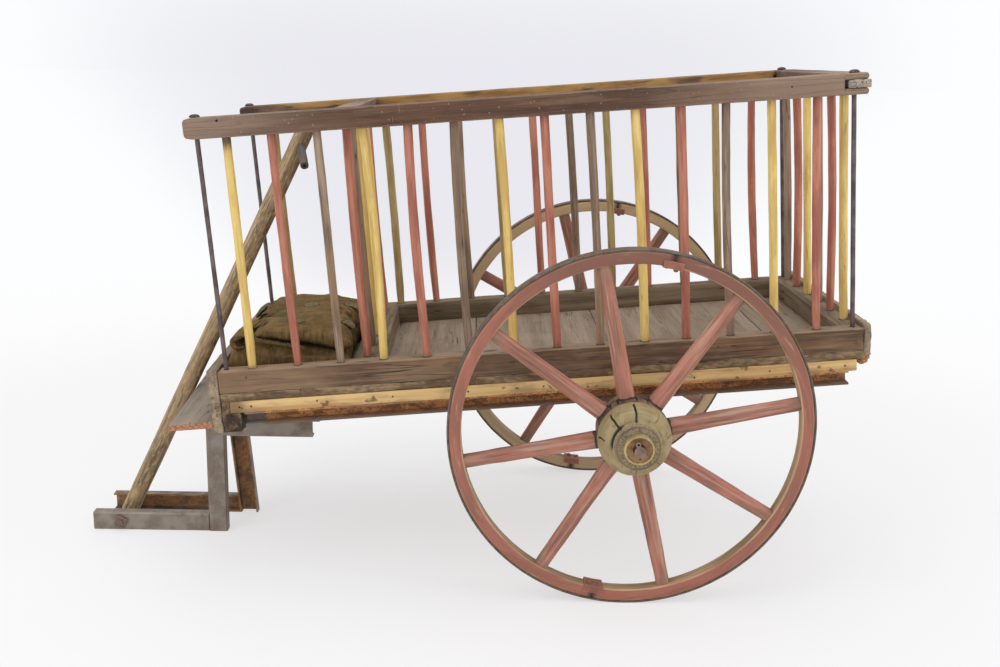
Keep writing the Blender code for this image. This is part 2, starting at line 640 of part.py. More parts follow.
def channel_run(name, side, start, end, cuts, steel):
    """A straight piece of channel with its open side towards the cart's middle, cut at both ends."""
    half = CHANNEL_HEIGHT / 2
    wall = CHANNEL_WALL
    ease = CHANNEL_ROUNDING
    face, lip = STAND_FACE, STAND_FACE - CHANNEL_FLANGE
    section = [(-half, face - ease), (-half + ease, face), (half - ease, face), (half, face - ease), (half, lip),
               (half - wall * 0.8, lip), (half - wall, face - wall), (-half + wall, face - wall),
               (-half + wall * 0.8, lip), (-half, lip)]
    run = (end - start).normalized()
    across = Vector((-run.y, run.x))
    data = bmesh.new()
    rings = []
    for cut_point, cut_face in cuts:
        ring = []
        for offset, y in section:
            place = cut_run(start, run, offset, across, cut_point, cut_face)
            ring.append(data.verts.new((place.x + AXLE_X, side * y, place.y)))
        rings.append(ring)
    count = len(section)
    for k in range(count):
        j = (k + 1) % count
        data.faces.new((rings[0][k], rings[0][j], rings[1][j], rings[1][k]))
    data.faces.new(rings[0])
    data.faces.new(rings[1])
    return add_piece(name, data, steel)


def stand_frame(name, side, arm_front, leg_foot, leg_head, steel):
    """One bent frame: the leg stands on the ground, the lower arm butts it and the upper arm is mitred."""
    half = CHANNEL_HEIGHT / 2
    foot = Vector((leg_foot, half))
    head = Vector((leg_head, STAND_TOP - half))
    front = Vector((arm_front, half))
    rear = Vector((UPPER_ARM_REAR, STAND_TOP - half))
    level, upright = Vector((1.0, 0.0)), Vector((0.0, 1.0))
    leg = (head - foot).normalized()
    leg_side = Vector((leg.y, -leg.x))
    mitre = (level + leg).normalized()
    butt = foot - leg_side * (half + GAP)
    arm = channel_run(name + "_lower_arm", side, front, foot, ((front, level), (butt, leg_side)), steel)
    channel_run(name + "_leg", side, foot, head, ((Vector((leg_foot, 0.0)), upright), (head - leg * GAP / 2, mitre)),
                steel)
    channel_run(name + "_upper_arm", side, head, rear, ((head + level * GAP / 2, mitre), (rear, level)), steel)
    return arm


def packing_block(name, side, wood):
    """Wedge between the level upper arm and the tilted bearers."""
    front, rear = BODY_FRONT + GAP, REAR_BEARER_X + BEARER_WIDTH / 2
    top = BEARER_BOTTOM - GAP
    front_x, front_z = body_to_ground(front, top)
    rear_x, rear_z = body_to_ground(rear, top)
    base = STAND_TOP + GAP
    outline = [(front_x + AXLE_X, base), (rear_x + AXLE_X, base), (rear_x + AXLE_X, rear_z), (front_x + AXLE_X, front_z)]
    start, end = sorted((side * STAND_FACE, side * (STAND_FACE - PACKING_WIDTH)))
    add_piece(name, prism_mesh(outline, start, end), wood)


def stand(steel, wood):
    half = CHANNEL_HEIGHT / 2
    reach = STAND_FACE * 1.5
    hole = bmesh.new()
    rod_into(hole, (PIVOT_X + AXLE_X, -reach, half), (PIVOT_X + AXLE_X, reach, half),
             BOLT_RADIUS + BOLT_CLEARANCE, 16)
    hole = make_guide(add_piece("pivot_hole", hole, None))
    for name, side, front, foot, top in (("left", -1, LEFT_ARM_FRONT, LEFT_LEG_FOOT, LEFT_LEG_HEAD),
                                         ("right", 1, RIGHT_ARM_FRONT, RIGHT_LEG_FOOT, RIGHT_LEG_HEAD)):
        arm = stand_frame(name, side, front, foot, top, steel)
        boolean(arm, hole, 'DIFFERENCE')
        packing_block(name + "_packing_block", side, wood)
    pivot_bolt(steel)
    return hole


def pivot_bolt(steel):
    """Bolt through both lower arms with collars that keep the pole centred."""
    wall = STAND_FACE - CHANNEL_WALL - GAP
    pole_side = POLE_RADIUS + GAP
    head = STAND_FACE + GAP
    end = head + BOLT_HEAD_HEIGHT
    data = turned_mesh([(-end - BOLT_END_LENGTH, BOLT_RADIUS), (-wall, BOLT_RADIUS), (-wall, BOLT_COLLAR_RADIUS),
                        (-pole_side, BOLT_COLLAR_RADIUS), (-pole_side, BOLT_RADIUS), (pole_side, BOLT_RADIUS),
                        (pole_side, BOLT_COLLAR_RADIUS), (wall, BOLT_COLLAR_RADIUS), (wall, BOLT_RADIUS),
                        (head + GAP, BOLT_RADIUS)], 16)
    bolt = add_piece("pivot_bolt", data, steel, location=(PIVOT_X + AXLE_X, 0.0, CHANNEL_HEIGHT / 2))
    radius = BOLT_HEAD_ACROSS / (2 * cos(pi / 4))
    ease = BOLT_HEAD_HEIGHT / 4
    for name, side in (("bolt_nut", -1), ("bolt_head", 1)):
        profile = [(side * head, radius), (side * (end - ease), radius), (side * end, radius - ease)]
        square = turned_mesh(profile, 4, turn=BOLT_HEAD_TURN)
        guide = make_guide(add_piece(name, square, None, location=bolt.location))
        boolean(bolt, guide, 'UNION')


def pole_lean():
    """Angle from upright at which the pole rests on the footboard's front edge."""
    edge_x, edge_z = body_to_ground(footboard_front(), FOOTBOARD_TOP)
    across, up = edge_x - PIVOT_X, edge_z - CHANNEL_HEIGHT / 2
    return atan2(across, up) - asin((POLE_RADIUS + POLE_REST_GAP) / hypot(across, up))


def tongue(pivot_hole, wood, iron):
    """Round pole with a rounded foot and a drooping hand peg near its top."""
    pivot = Vector((PIVOT_X + AXLE_X, 0.0, CHANNEL_HEIGHT / 2))
    lean = pole_lean()
    axis = add_empty("tongue_axis", pivot)
    r = POLE_RADIUS
    foot = [(-r * sin(a), r * cos(a)) for a in (radians(80), radians(60), radians(40), radians(20))]
    profile = foot + [(0.0, r), (POLE_LENGTH - 0.004, r), (POLE_LENGTH, r - 0.004)]
    data = turned_mesh(profile, 16)
    bmesh.ops.rotate(data, verts=data.verts, cent=(0, 0, 0), matrix=Matrix.Rotation(pi / 2, 3, 'X'))
    bmesh.ops.rotate(data, verts=data.verts, cent=(0, 0, 0), matrix=Matrix.Rotation(lean, 3, 'Y'))
    pole = add_piece("tongue_pole", data, wood, axis)
    boolean(pole, pivot_hole, 'DIFFERENCE')

    centre = Vector((sin(lean), 0.0, cos(lean))) * (POLE_LENGTH - PEG_FROM_TOP)
    out = cos(PEG_DROOP)
    reach = Vector((out * sin(PEG_TURN), -out * cos(PEG_TURN), -sin(PEG_DROOP))) * PEG_REACH
    hole = bmesh.new()
    rod_into(hole, centre - reach, centre + reach, PEG_RADIUS + GAP, 12)
    boolean(pole, make_guide(add_piece("peg_hole", hole, None, axis)), 'DIFFERENCE')
    peg = bmesh.new()
    rod_into(peg, centre - reach, centre + reach, PEG_RADIUS, 12)
    add_piece("tongue_peg", peg, iron, axis)


def main():
    clear_scene()
    brown_wood = material("weathered brown wood", (0.16, 0.11, 0.08), 0.8)
    grey_wood = material("grey floor wood", (0.21, 0.18, 0.14), 0.85)
    pale_wood = material("pale pine", (0.60, 0.42, 0.22), 0.7)
    red_wood = material("faded red paint", (0.35, 0.10, 0.08), 0.65)
    olive_wood = material("olive hub paint", (0.30, 0.25, 0.13), 0.7)
    pole_wood = material("worn pole", (0.26, 0.17, 0.09), 0.6)
    iron = material("dark iron", (0.10, 0.08, 0.07), 0.6, 0.8)
    steel = material("stand steel", (0.17, 0.15, 0.14), 0.55, 0.6)
    rusty = material("rusty channel", (0.30, 0.10, 0.03), 0.85, 0.2)
    cloth = material("olive cushion cloth", (0.13, 0.09, 0.04), 0.95)

    frame = add_empty("cart_frame", (AXLE_X, 0.0, WHEEL_RADIUS), rotation=(0.0, -NOSE_DOWN, 0.0))
    cage(frame, brown_wood, iron)
    floor(frame, grey_wood, pale_wood, rusty)
    cushion(frame, cloth)
    axle(frame, iron, brown_wood)
    for name, side, turn in (("left_wheel", -1, LEFT_WHEEL_TURN), ("right_wheel", 1, RIGHT_WHEEL_TURN)):
        wheel(name, side, turn, (red_wood, olive_wood, iron))
    pivot_hole = stand(steel, brown_wood)
    tongue(pivot_hole, pole_wood, iron)


if __name__ == "__main__":
    main()
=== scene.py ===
"""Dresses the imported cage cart: timber, sticks, wheels, ironwork, pole, cushion and a pale stage.

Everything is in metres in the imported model's own frame: +X to the rear, -Y to the near side, +Z up.
Timbers take their place and size from the solids that they stand for.
"""
import json
from functools import cache
from math import atan2, cos, exp, pi, radians, sin, sqrt
import bmesh
import bpy
from bpy.props import FloatProperty, FloatVectorProperty, IntProperty, PointerProperty
from mathutils import Matrix, Vector, noise


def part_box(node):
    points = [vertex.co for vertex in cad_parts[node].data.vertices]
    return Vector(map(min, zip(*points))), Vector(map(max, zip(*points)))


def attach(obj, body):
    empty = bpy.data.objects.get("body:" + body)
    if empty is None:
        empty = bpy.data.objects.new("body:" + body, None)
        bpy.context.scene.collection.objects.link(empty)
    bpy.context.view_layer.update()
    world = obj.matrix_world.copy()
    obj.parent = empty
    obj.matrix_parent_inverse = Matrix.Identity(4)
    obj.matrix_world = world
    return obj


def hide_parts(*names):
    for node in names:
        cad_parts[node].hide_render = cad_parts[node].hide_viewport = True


bl_info = {
    "name": "Cage cart dressing",
    "version": (1, 0, 0),
    "blender": (4, 5, 0),
    "location": "View3D > Sidebar > Cage cart",
    "description": "Builds the looks of a small spindle-sided cage cart round its packed solids",
    "category": "Object",
}

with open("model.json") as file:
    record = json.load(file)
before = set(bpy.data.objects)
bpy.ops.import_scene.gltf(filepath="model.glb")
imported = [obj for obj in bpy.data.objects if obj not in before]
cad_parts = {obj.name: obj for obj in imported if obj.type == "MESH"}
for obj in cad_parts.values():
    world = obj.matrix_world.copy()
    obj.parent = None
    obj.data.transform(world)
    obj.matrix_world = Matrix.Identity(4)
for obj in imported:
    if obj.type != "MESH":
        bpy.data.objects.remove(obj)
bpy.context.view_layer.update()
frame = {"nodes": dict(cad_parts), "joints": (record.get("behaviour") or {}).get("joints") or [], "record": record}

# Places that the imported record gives
JOINTS = {joint["name"]: joint for joint in frame["joints"]}
MOUNTS = {mount["name"]: mount for mount in frame["record"]["mounts"]}
AXLE = Vector(JOINTS["left_wheel_spin"]["pos_m"]) * Vector((1.0, 0.0, 1.0))
PIVOT = Vector(JOINTS["tongue_pivot"]["pos_m"])
FLOOR_UP = Vector(MOUNTS["cage_floor"]["axis"])
BODY = Matrix.Translation(AXLE) @ Matrix.Rotation(atan2(FLOOR_UP.x, FLOOR_UP.z), 4, 'Y')
BODY_INVERSE = BODY.inverted()
POLE_UP = Vector(MOUNTS["tongue_hand_hold"]["axis"])


def tint(red, green, blue):
    """A colour given as it looks, 0 to 255, as the linear values that Blender stores."""
    return tuple(((c / 255 + 0.055) / 1.055) ** 2.4 if c > 10 else c / 255 / 12.92
                 for c in (red, green, blue))


def colour_setting(name, description, *colour):
    return FloatVectorProperty(name=name, description=description, subtype='COLOR', size=3,
                               min=0.0, max=1.0, default=tint(*colour))


def length_setting(name, description, default):
    return FloatProperty(name=name, description=description, default=default, unit='LENGTH', precision=4)


def angle_setting(name, description, default):
    return FloatProperty(name=name, description=description, default=default, subtype='ANGLE')


def share_setting(name, description, default):
    return FloatProperty(name=name, description=description, default=default, subtype='FACTOR')


def body_span(node):
    """Lowest and highest corner of a solid, seen from the cart body's own level frame."""
    corners = [BODY_INVERSE @ v.co for v in frame["nodes"][node].data.vertices]
    return [Vector(choose(c[i] for c in corners) for i in range(3)) for choose in (min, max)]


def drift(point):
    """A smooth wandering direction at a point, the same in every run."""
    shifts = ((9.3, -1.5, -7.9), (0.0, 0.0, 0.0), (6.7, 3.2, -0.9))
    return Vector(noise.noise(point + Vector(shift)) for shift in shifts)


def wobble(x, y, z):
    """A smooth random height, from about -1 to 1."""
    return noise.noise(Vector((x, y, z)))


def bell(distance, width):
    """1 in the middle, falling off smoothly to both sides."""
    return exp(-(distance / width) ** 2)


def fade(distance, reach):
    """1 at no distance, falling evenly to 0 at the reach."""
    return max(0.0, 1.0 - distance / reach)


def clamp(value):
    return min(1.0, max(0.0, value))


def around(count):
    """Angles that divide a circle evenly."""
    return [2 * pi * i / count for i in range(count)]


# Sizes that the solids have but no box shows
RAIL_WIDTH = 0.044
RAIL_HEIGHT = 0.043
TENON_HEIGHT = 0.016
TENON_PROUD = 0.003
FORK_CLEARANCE = 0.007
STICK_ENTRY = 0.012
HUB_RADIUS = 0.0755
CLIP_THICKNESS = 0.0025
PEG_RADIUS = 0.0095
PEG_DROOP = radians(30.0)
PEG_TURN = radians(15.0)
# From the tie rods to the first and the last stick of each side
FIRST_STICK_GAP = 0.058
LAST_STICK_GAP = 0.0755
# Degrees that each spoke stands off its even place, counted from the wheel's first spoke
SPOKE_SETS = {"left_wheel": (-1.5, -2.6, 0.0, -1.6, 0.0, 2.6, 2.0, 1.6),
              "right_wheel": (0.6, -0.9, 0.4, 1.1, -0.5, -1.0, 0.8, 0.3)}
LONGERON_FOOT = body_span("left_longeron")[0].z
LONGERON_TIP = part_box("left_longeron")[0].x


class CartTimber(bpy.types.PropertyGroup):
    """Colours and edge wear of the cart's timbers."""
    rail: colour_setting("Rail", "Brown timber of the rails", 96, 66, 47)
    rail_dark: colour_setting("Rail shade", "Dark bands in the brown timber", 64, 45, 33)
    rail_pale: colour_setting("Rail worn", "Rubbed edges and dry fibres of the brown timber", 148, 116, 90)
    sill: colour_setting("Sill", "Outer faces of the sills", 126, 90, 60)
    shelter: colour_setting("Sheltered timber", "Grey-green faces inside the cage", 132, 112, 88)
    deck: colour_setting("Deck", "Dusty grey planks", 154, 136, 118)
    deck_dark: colour_setting("Deck shade", "Dark bands in the planks", 128, 111, 92)
    deck_pale: colour_setting("Deck worn", "Dry fibres of the planks", 178, 160, 140)
    pine: colour_setting("Pine", "Newer pale strip under the sills", 226, 190, 130)
    pine_dark: colour_setting("Pine shade", "Late wood of the pale strip", 196, 154, 96)
    decay: colour_setting("Decay", "Crumbling orange wood at broken ends", 214, 150, 86)
    ease: length_setting("Eased edge", "Rounding of a timber's long edges", 0.0025)
    waves: length_setting("Waves", "How far a timber's faces wander from straight", 0.0006)


class CartSticks(bpy.types.PropertyGroup):
    """Colours and crookedness of the cage sticks."""
    yellow: colour_setting("Yellow", "Yellow stick paint", 240, 208, 122)
    # Yellow darkened for the far-side sticks: painted shade
    shaded_yellow: colour_setting("Ochre", "Dirty yellow of the sticks on the far side", 184, 160, 106)
    red: colour_setting("Red", "Brick-red stick paint", 196, 126, 102)
    bare: colour_setting("Bare", "Unpainted grey sticks", 160, 135, 112)
    radius: length_setting("Radius", "Radius of a stick at its middle", 0.0094)
    crook: length_setting("Crook", "Largest bow of a stick", 0.0035)
    side_count: IntProperty(name="Side sticks", description="Sticks on each long side", default=14)
    end_count: IntProperty(name="End sticks", description="Sticks in each cross row", default=6)


class CartWheels(bpy.types.PropertyGroup):
    """Shape and colours of the two spoked wheels."""
    spokes: IntProperty(name="Spokes", description="Spokes in each wheel", default=8)
    left_turn: angle_setting("Left turn", "How far the near wheel is turned", radians(12.0))
    right_turn: angle_setting("Right turn", "How far the far wheel is turned", radians(15.0))
    rim_joint: angle_setting("Rim joint", "Where the two halves of a rim meet", radians(67.5))
    felloe_depth: length_setting("Felloe depth", "Radial depth of the bent rim", 0.026)
    tyre: length_setting("Tyre", "Thickness of the iron tyre", 0.004)
    spoke_root: length_setting("Spoke root", "Width of a spoke at the hub", 0.0365)
    spoke_tip: length_setting("Spoke tip", "Width of a spoke at the rim", 0.0285)
    dish: length_setting("Dish", "How far the spokes lean out towards the hub", 0.016)
    paint: colour_setting("Wheel paint", "Faded red of spokes and rim", 170, 104, 86)
    hub: colour_setting("Hub paint", "Faded olive of the hubs", 168, 149, 106)
    iron: colour_setting("Tyre iron", "Brown-grey of the worn tyre", 114, 101, 90)


class CartCushion(bpy.types.PropertyGroup):
    """The folded seat cushion."""
    cloth: colour_setting("Cloth", "Coarse olive-brown cloth", 114, 91, 56)
    tuft: colour_setting("Tufts", "Grey-green tuft tabs", 132, 126, 96)
    puff: length_setting("Puff", "Furthest that the stuffing pushes a point out", 0.008)
    voxel: length_setting("Mesh size", "Size of the cloth's facets before it is smoothed", 0.004)
    slack: share_setting("Slack", "Share by which the cloth is larger than the pad it covers", 0.05)
    pressure: FloatProperty(name="Pressure", description="Air pressure that swells the cloth", default=4.0)
    wrinkle: length_setting("Wrinkle", "Depth of the long wrinkles", 0.0022)


class CartStage(bpy.types.PropertyGroup):
    """Camera, floor and lamps."""
    eye: FloatVectorProperty(name="Eye", description="Place of the camera", subtype='TRANSLATION',
                             default=(0.02455, -2.6289, 1.1195))
    yaw: angle_setting("Yaw", "Turn of the view to the right", 0.0245)
    pitch: angle_setting("Pitch", "How far the view looks down", 0.237)
    roll: angle_setting("Roll", "Turn of the picture", -0.0253)
    lens: FloatProperty(name="Lens", description="Focal length in millimetres", default=40.95)
    floor: colour_setting("Floor", "Pale studio floor", 246, 246, 247)
    floor_glow: colour_setting("Lit floor", "What the floor shows where no shadow falls", 253, 252, 252)
    glow_share: share_setting("Shadow softening", "Share of the floor's look that keeps no shadow", 0.6)
    floor_reach: length_setting("Floor reach", "Half the width of the floor", 60.0)
    backdrop: colour_setting("Backdrop", "Pale studio backdrop", 253, 254, 255)
    # Darker bluish grey painted on the backdrop behind the cart: painted shade
    backdrop_shade: colour_setting("Haze", "Bluish grey of the backdrop behind the cart", 233, 233, 239)
    fill: colour_setting("Fill", "Light that the room throws into the shadows", 205, 205, 207)


class Signal:
    """A shader output; arithmetic on it adds the maths nodes."""

    def __init__(self, finish, socket):
        self.finish = finish
        self.socket = socket

    def maths(self, operation, *values):
        return self.finish.node("Math", {"operation": operation}, dict(enumerate(values)))

    def __add__(self, other):
        return self.maths('ADD', self, other)

    __radd__ = __add__

    def __mul__(self, other):
        return self.maths('MULTIPLY', self, other)

    __rmul__ = __mul__

    def __sub__(self, other):
        return self.maths('SUBTRACT', self, other)

    def __rsub__(self, other):
        return self.maths('SUBTRACT', other, self)

    def __abs__(self):
        return self.maths('ABSOLUTE', self)

    def held(self):
        """The value kept between 0 and 1."""
        return self.between(0.0, 1.0, 'LINEAR')

    def between(self, start, end, curve='SMOOTHSTEP'):
        """Rises from 0 to 1 as the value goes from start to end."""
        return self.finish.node("MapRange", {"interpolation_type": curve},
                                {"Value": self, "From Min": start, "From Max": end})


class Network:
    """A node tree that is filled through one method."""

    def __init__(self, tree):
        self.tree = tree

    def node(self, kind, settings=None, values=None, output=0):
        made = self.tree.nodes.new("ShaderNode" + kind)
        for key, value in (settings or {}).items():
            setattr(made, key, value)
        for key, value in (values or {}).items():
            self.put(value, made.inputs[key])
        return Signal(self, made.outputs[output])

    def put(self, value, socket):
        if isinstance(value, Signal):
            self.tree.links.new(value.socket, socket)
        elif socket.type == 'RGBA':
            socket.default_value = (*value, 1.0)
        else:
            socket.default_value = value

    def blend(self, share, first, second, mode='MIX'):
        return self.node("Mix", {"data_type": 'RGBA', "blend_type": mode},
                         {0: share, 6: first, 7: second}, 2)

    def seen(self):
        """1 for what the camera, a gloss or a glass looks at, 0 for light that only bounces."""
        rays = [self.node("LightPath", output=f"Is {kind} Ray")
                for kind in ("Camera", "Glossy", "Transmission")]
        return (rays[0] + rays[1] + rays[2]).held()


class Finish(Network):
    """One node material, worked out in metres on the piece itself."""

    def __init__(self, name, on_solid=False):
        self.material = bpy.data.materials.new(name)
        self.material.use_nodes = True
        super().__init__(self.material.node_tree)
        self.shader = self.tree.nodes["Principled BSDF"]
        if on_solid:
            self.where = self.node("TexCoord", output="Object")
        else:
            self.where = self.node("Attribute", {"attribute_name": "grain"}, output="Vector")
        self.split = self.node("Attribute", {"attribute_name": "split"}, output="Fac")
        self.scene = bpy.context.scene
        self.colour = self.height = self.fibres = None

    def noise(self, scale, detail=3.0, shift=0.0, roughness=0.55):
        """Clouds, with their repeats per metre: one number, (along, across) or one for each direction."""
        scale = (*scale, scale[-1])[:3] if isinstance(scale, tuple) else (scale,) * 3
        place = self.node("Mapping", {}, {"Vector": self.where, "Scale": scale,
                                                    "Location": (shift, shift * 1.7, shift * 0.6)})
        return self.node("TexNoise", {}, {"Vector": place, "Scale": 1.0, "Detail": detail,
                                                    "Roughness": roughness}, "Fac")

    def part(self, axis):
        """The place along one direction of the grain, in metres."""
        return self.node("SeparateXYZ", {}, {"Vector": self.where}, axis)

    def facing(self, axis):
        """How far the surface faces along one direction of the row frame, from -1 to 1."""
        normal = self.node("NewGeometry", output="Normal")
        return self.node("SeparateXYZ", {}, {"Vector": normal}, axis)

    def edges(self, radius=0.003):
        """Strongest on the outer edges of the piece."""
        softened = self.node("Bevel", {"samples": 4}, {"Radius": radius})
        true = self.node("NewGeometry", output="Normal")
        likeness = self.node("VectorMath", {"operation": 'DOT_PRODUCT'}, {0: softened, 1: true},
                             "Value")
        return (1 - likeness).between(0.01, 0.16)

    def rubbed(self, start, end):
        """Edges that hands and weather have rubbed in places; the pale colour laid on them also serves as a
        painted highlight.
        """
        return self.edges(0.0035) * self.noise((20, 60), 2, 4).between(start, end)

    def ground(self, share, first, second):
        """The mix of two colours that the other colours lie on."""
        self.colour = self.blend(share, first, second)

    def coat(self, share, *colour):
        """Lay a colour over what is there: three numbers as it looks, or one colour already made."""
        self.colour = self.blend(share, self.colour, tint(*colour) if len(colour) == 3 else colour[0])

    def wood(self, dark, middle, pale, shift=0.0, contrast=1.0):
        """Long bands, streaks, fibres, scratches and drying cracks; also sets the relief in height."""
        bands = self.noise((1.6, 24), 3, shift)
        streaks = self.noise((4.5, 85), 4, shift + 3)
        self.fibres = self.noise((11, 320), 3, shift + 6)
        flecks = self.noise((18, 90), 3, shift + 9)
        patches = self.noise((6, 11), 3, shift + 5)
        self.ground(bands.between(0.38, 0.62), dark, middle)
        self.coat(streaks.between(0.5, 0.7) * (0.55 * contrast), pale)
        self.coat(streaks.between(0.47, 0.34) * (0.7 * contrast), darker(dark, 0.62))
        self.coat(self.fibres.between(0.5, 0.75) * 0.45, pale)
        self.coat(patches.between(0.52, 0.72) * 0.4, pale)
        self.coat(flecks.between(0.58, 0.72) * 0.5, darker(dark, 0.7))
        veins = abs(self.noise((2.4, 60), 1, shift + 7) - 0.5)
        cracks = (1 - veins.between(0.0, 0.012)) * patches.between(0.45, 0.55)
        cracks = (cracks + self.split).held()
        self.coat(cracks * 0.85, 34, 26, 20)
        self.height = self.fibres * 0.3 + streaks * 0.3 + flecks * 0.2 - cracks
        return self.colour

    def wear(self, roughness, depth=0.0006, height=None, metal=0.0, gloss=None):
        """Join the worked-out surface to the shader and give the material."""
        inputs = self.shader.inputs
        self.put(self.colour, inputs["Base Color"])
        self.put(roughness, inputs["Roughness"])
        self.put(metal, inputs["Metallic"])
        if gloss is not None:
            self.put(gloss, inputs["Specular IOR Level"])
        height = height or self.height
        if height:
            relief = {"Height": height, "Distance": depth, "Strength": 1.0}
            self.put(self.node("Bump", {}, relief, "Normal"), inputs["Normal"])
        return self.material


def darker(colour, share):
    return tuple(part * share for part in colour)


def timber_tints(timber):
    return timber.rail_dark, timber.rail, timber.rail_pale


def material(name, on_solid=False):
    """Turns a function that works out a finish into one that makes its material once."""
    def decorate(work_out):
        @cache
        def make():
            return work_out(Finish(name, on_solid))
        return make
    return decorate


@material("rail timber")
def rail_timber(finish):
    """The rails are brown in the middle and dry and grey towards their ends."""
    finish.wood(*timber_tints(finish.scene.cart_timber))
    along = finish.part("X") + finish.noise((3, 20), 2, 8) * 0.3
    dry = along.between(0.98, 1.5) + (1 - along.between(0.12, 0.55))
    finish.coat((1 - dry).held() * 0.3, 92, 58, 38)
    finish.coat(dry.held() * 0.62, 166, 140, 120)
    scratched = finish.noise((9, 30), 2, 19).between(0.5, 0.6)
    finish.coat(finish.noise((230, 14), 2, 14).between(0.64, 0.7) * scratched * 0.5, 176, 158, 138)
    finish.coat(finish.noise(190, 2, 23).between(0.7, 0.76) * 0.6, 206, 194, 176)
    # Pale rubbed edges, which also serve as a painted highlight along them
    finish.coat(finish.rubbed(0.3, 0.5) * 0.8, 198, 176, 150)
    return finish.wear(0.56 + finish.fibres * 0.3, 0.0007)


@material("rail with yellow paint")
def ochre_timber(finish):
    """The far rail's inner face still has yellow paint."""
    finish.wood(*timber_tints(finish.scene.cart_timber), 21)
    cover = finish.noise((6, 26), 4, 13)
    tone = finish.noise((10, 60), 3, 17).between(0.35, 0.65)
    finish.coat(cover.between(0.4, 0.52) * 0.75, finish.blend(tone, tint(142, 100, 46), tint(184, 142, 78)))
    finish.coat(cover.between(0.4, 0.3) * 0.7, 52, 42, 34)
    # Pale edges: painted highlight
    finish.coat(finish.edges(0.0035) * 0.6, 186, 162, 132)
    return finish.wear(0.6 + finish.fibres * 0.3, 0.0007)


@material("grey deck timber")
def grey_timber(finish):
    """Boards of the deck and its ends, grey and dusty."""
    finish.wood(tint(122, 102, 80), tint(164, 144, 118), tint(192, 172, 146), 31)
    finish.coat(finish.noise((6, 8), 4, 2).between(0.4, 0.65) * 0.35, finish.scene.cart_timber.deck)
    # Pale edges: painted highlight
    finish.coat(finish.edges() * 0.45, 170, 156, 136)
    return finish.wear(0.75 + finish.fibres * 0.2, 0.0009)


@material("pale pine")
def pale_pine(finish):
    """Newer strip, dirty towards its front end."""
    bands = finish.noise((1.2, 70), 2, 3)
    fibres = finish.noise((12, 300), 3, 1)
    finish.ground(bands.between(0.42, 0.6), finish.scene.cart_timber.pine, finish.scene.cart_timber.pine_dark)
    finish.coat(fibres.between(0.5, 0.8) * 0.3, 224, 196, 152)
    dirt = finish.noise((9, 40), 4, 6)
    finish.coat(dirt.between(0.5, 0.66) * 0.55, 140, 108, 74)
    start = 1 - (finish.part("X") + dirt * 0.03).between(0.03, 0.065)
    finish.coat(start * 0.85, 122, 96, 70)
    finish.coat(finish.noise((40, 60), 2, 15).between(0.64, 0.72) * 0.75, 88, 62, 42)
    finish.coat(finish.split, 60, 42, 28)
    return finish.wear(0.7, 0.0005, fibres * 0.4 - finish.split)


@material("crumbling end grain")
def broken_wood(finish):
    """Crumbling end grain, orange where it is fresh."""
    lumps = finish.noise(150, 5, 2)
    finish.ground(lumps.between(0.35, 0.6), tint(128, 84, 48), finish.scene.cart_timber.decay)
    finish.coat(finish.noise(34, 3, 7).between(0.5, 0.62) * 0.7, 206, 172, 124)
    finish.coat(lumps.between(0.40, 0.32) * 0.7, 64, 44, 28)
    return finish.wear(0.9, 0.003, lumps)


# Faded and pale tone of each stick paint; the darker yellow of the far-side sticks is painted shade
STICK_TONES = {"yellow": ((216, 180, 100), (248, 224, 156)), "shaded_yellow": ((156, 132, 82), (204, 182, 128)),
               "red": ((166, 98, 80), (214, 150, 120))}


@cache
def stick_paint(kind):
    """Worn paint on a whittled stick, rubbed off at its very foot."""
    sticks = bpy.context.scene.cart_sticks
    finish = Finish(f"{kind} stick")
    wood = finish.wood(tint(122, 98, 78), sticks.bare, tint(190, 166, 140), 41)
    if kind == "bare":
        purple = finish.noise((3, 12), 2, 19)
        finish.coat(purple.between(0.5, 0.65) * 0.35, 132, 110, 98)
        finish.coat(purple.between(0.45, 0.35) * 0.4, 176, 144, 108)
        return finish.wear(0.55 + finish.fibres * 0.2, 0.0005)
    faded, pale = (tint(*tone) for tone in STICK_TONES[kind])
    streaks = finish.noise((6, 120), 4, 23)
    finish.ground(finish.noise((7, 40), 4, 27).between(0.4, 0.6), getattr(sticks, kind), faded)
    finish.coat(streaks.between(0.53, 0.7) * 0.65, pale)
    finish.coat(streaks.between(0.45, 0.33) * 0.6, darker(faded, 0.72))
    chips = finish.noise((22, 170), 4, 33).between(0.64, 0.7)
    chips = (chips + finish.noise((4, 40), 3, 36).between(0.68, 0.76)).held()
    foot = finish.part("X") + finish.noise((24, 30), 2, 6) * 0.02
    bare = (chips * 0.6 + (1 - foot.between(0.008, 0.018))).held()
    bare = (bare + finish.split).held()
    finish.coat(bare, wood)
    return finish.wear(0.48 + finish.fibres * 0.2 + bare * 0.15, 0.0005, finish.height * 0.5 - bare * 0.5)


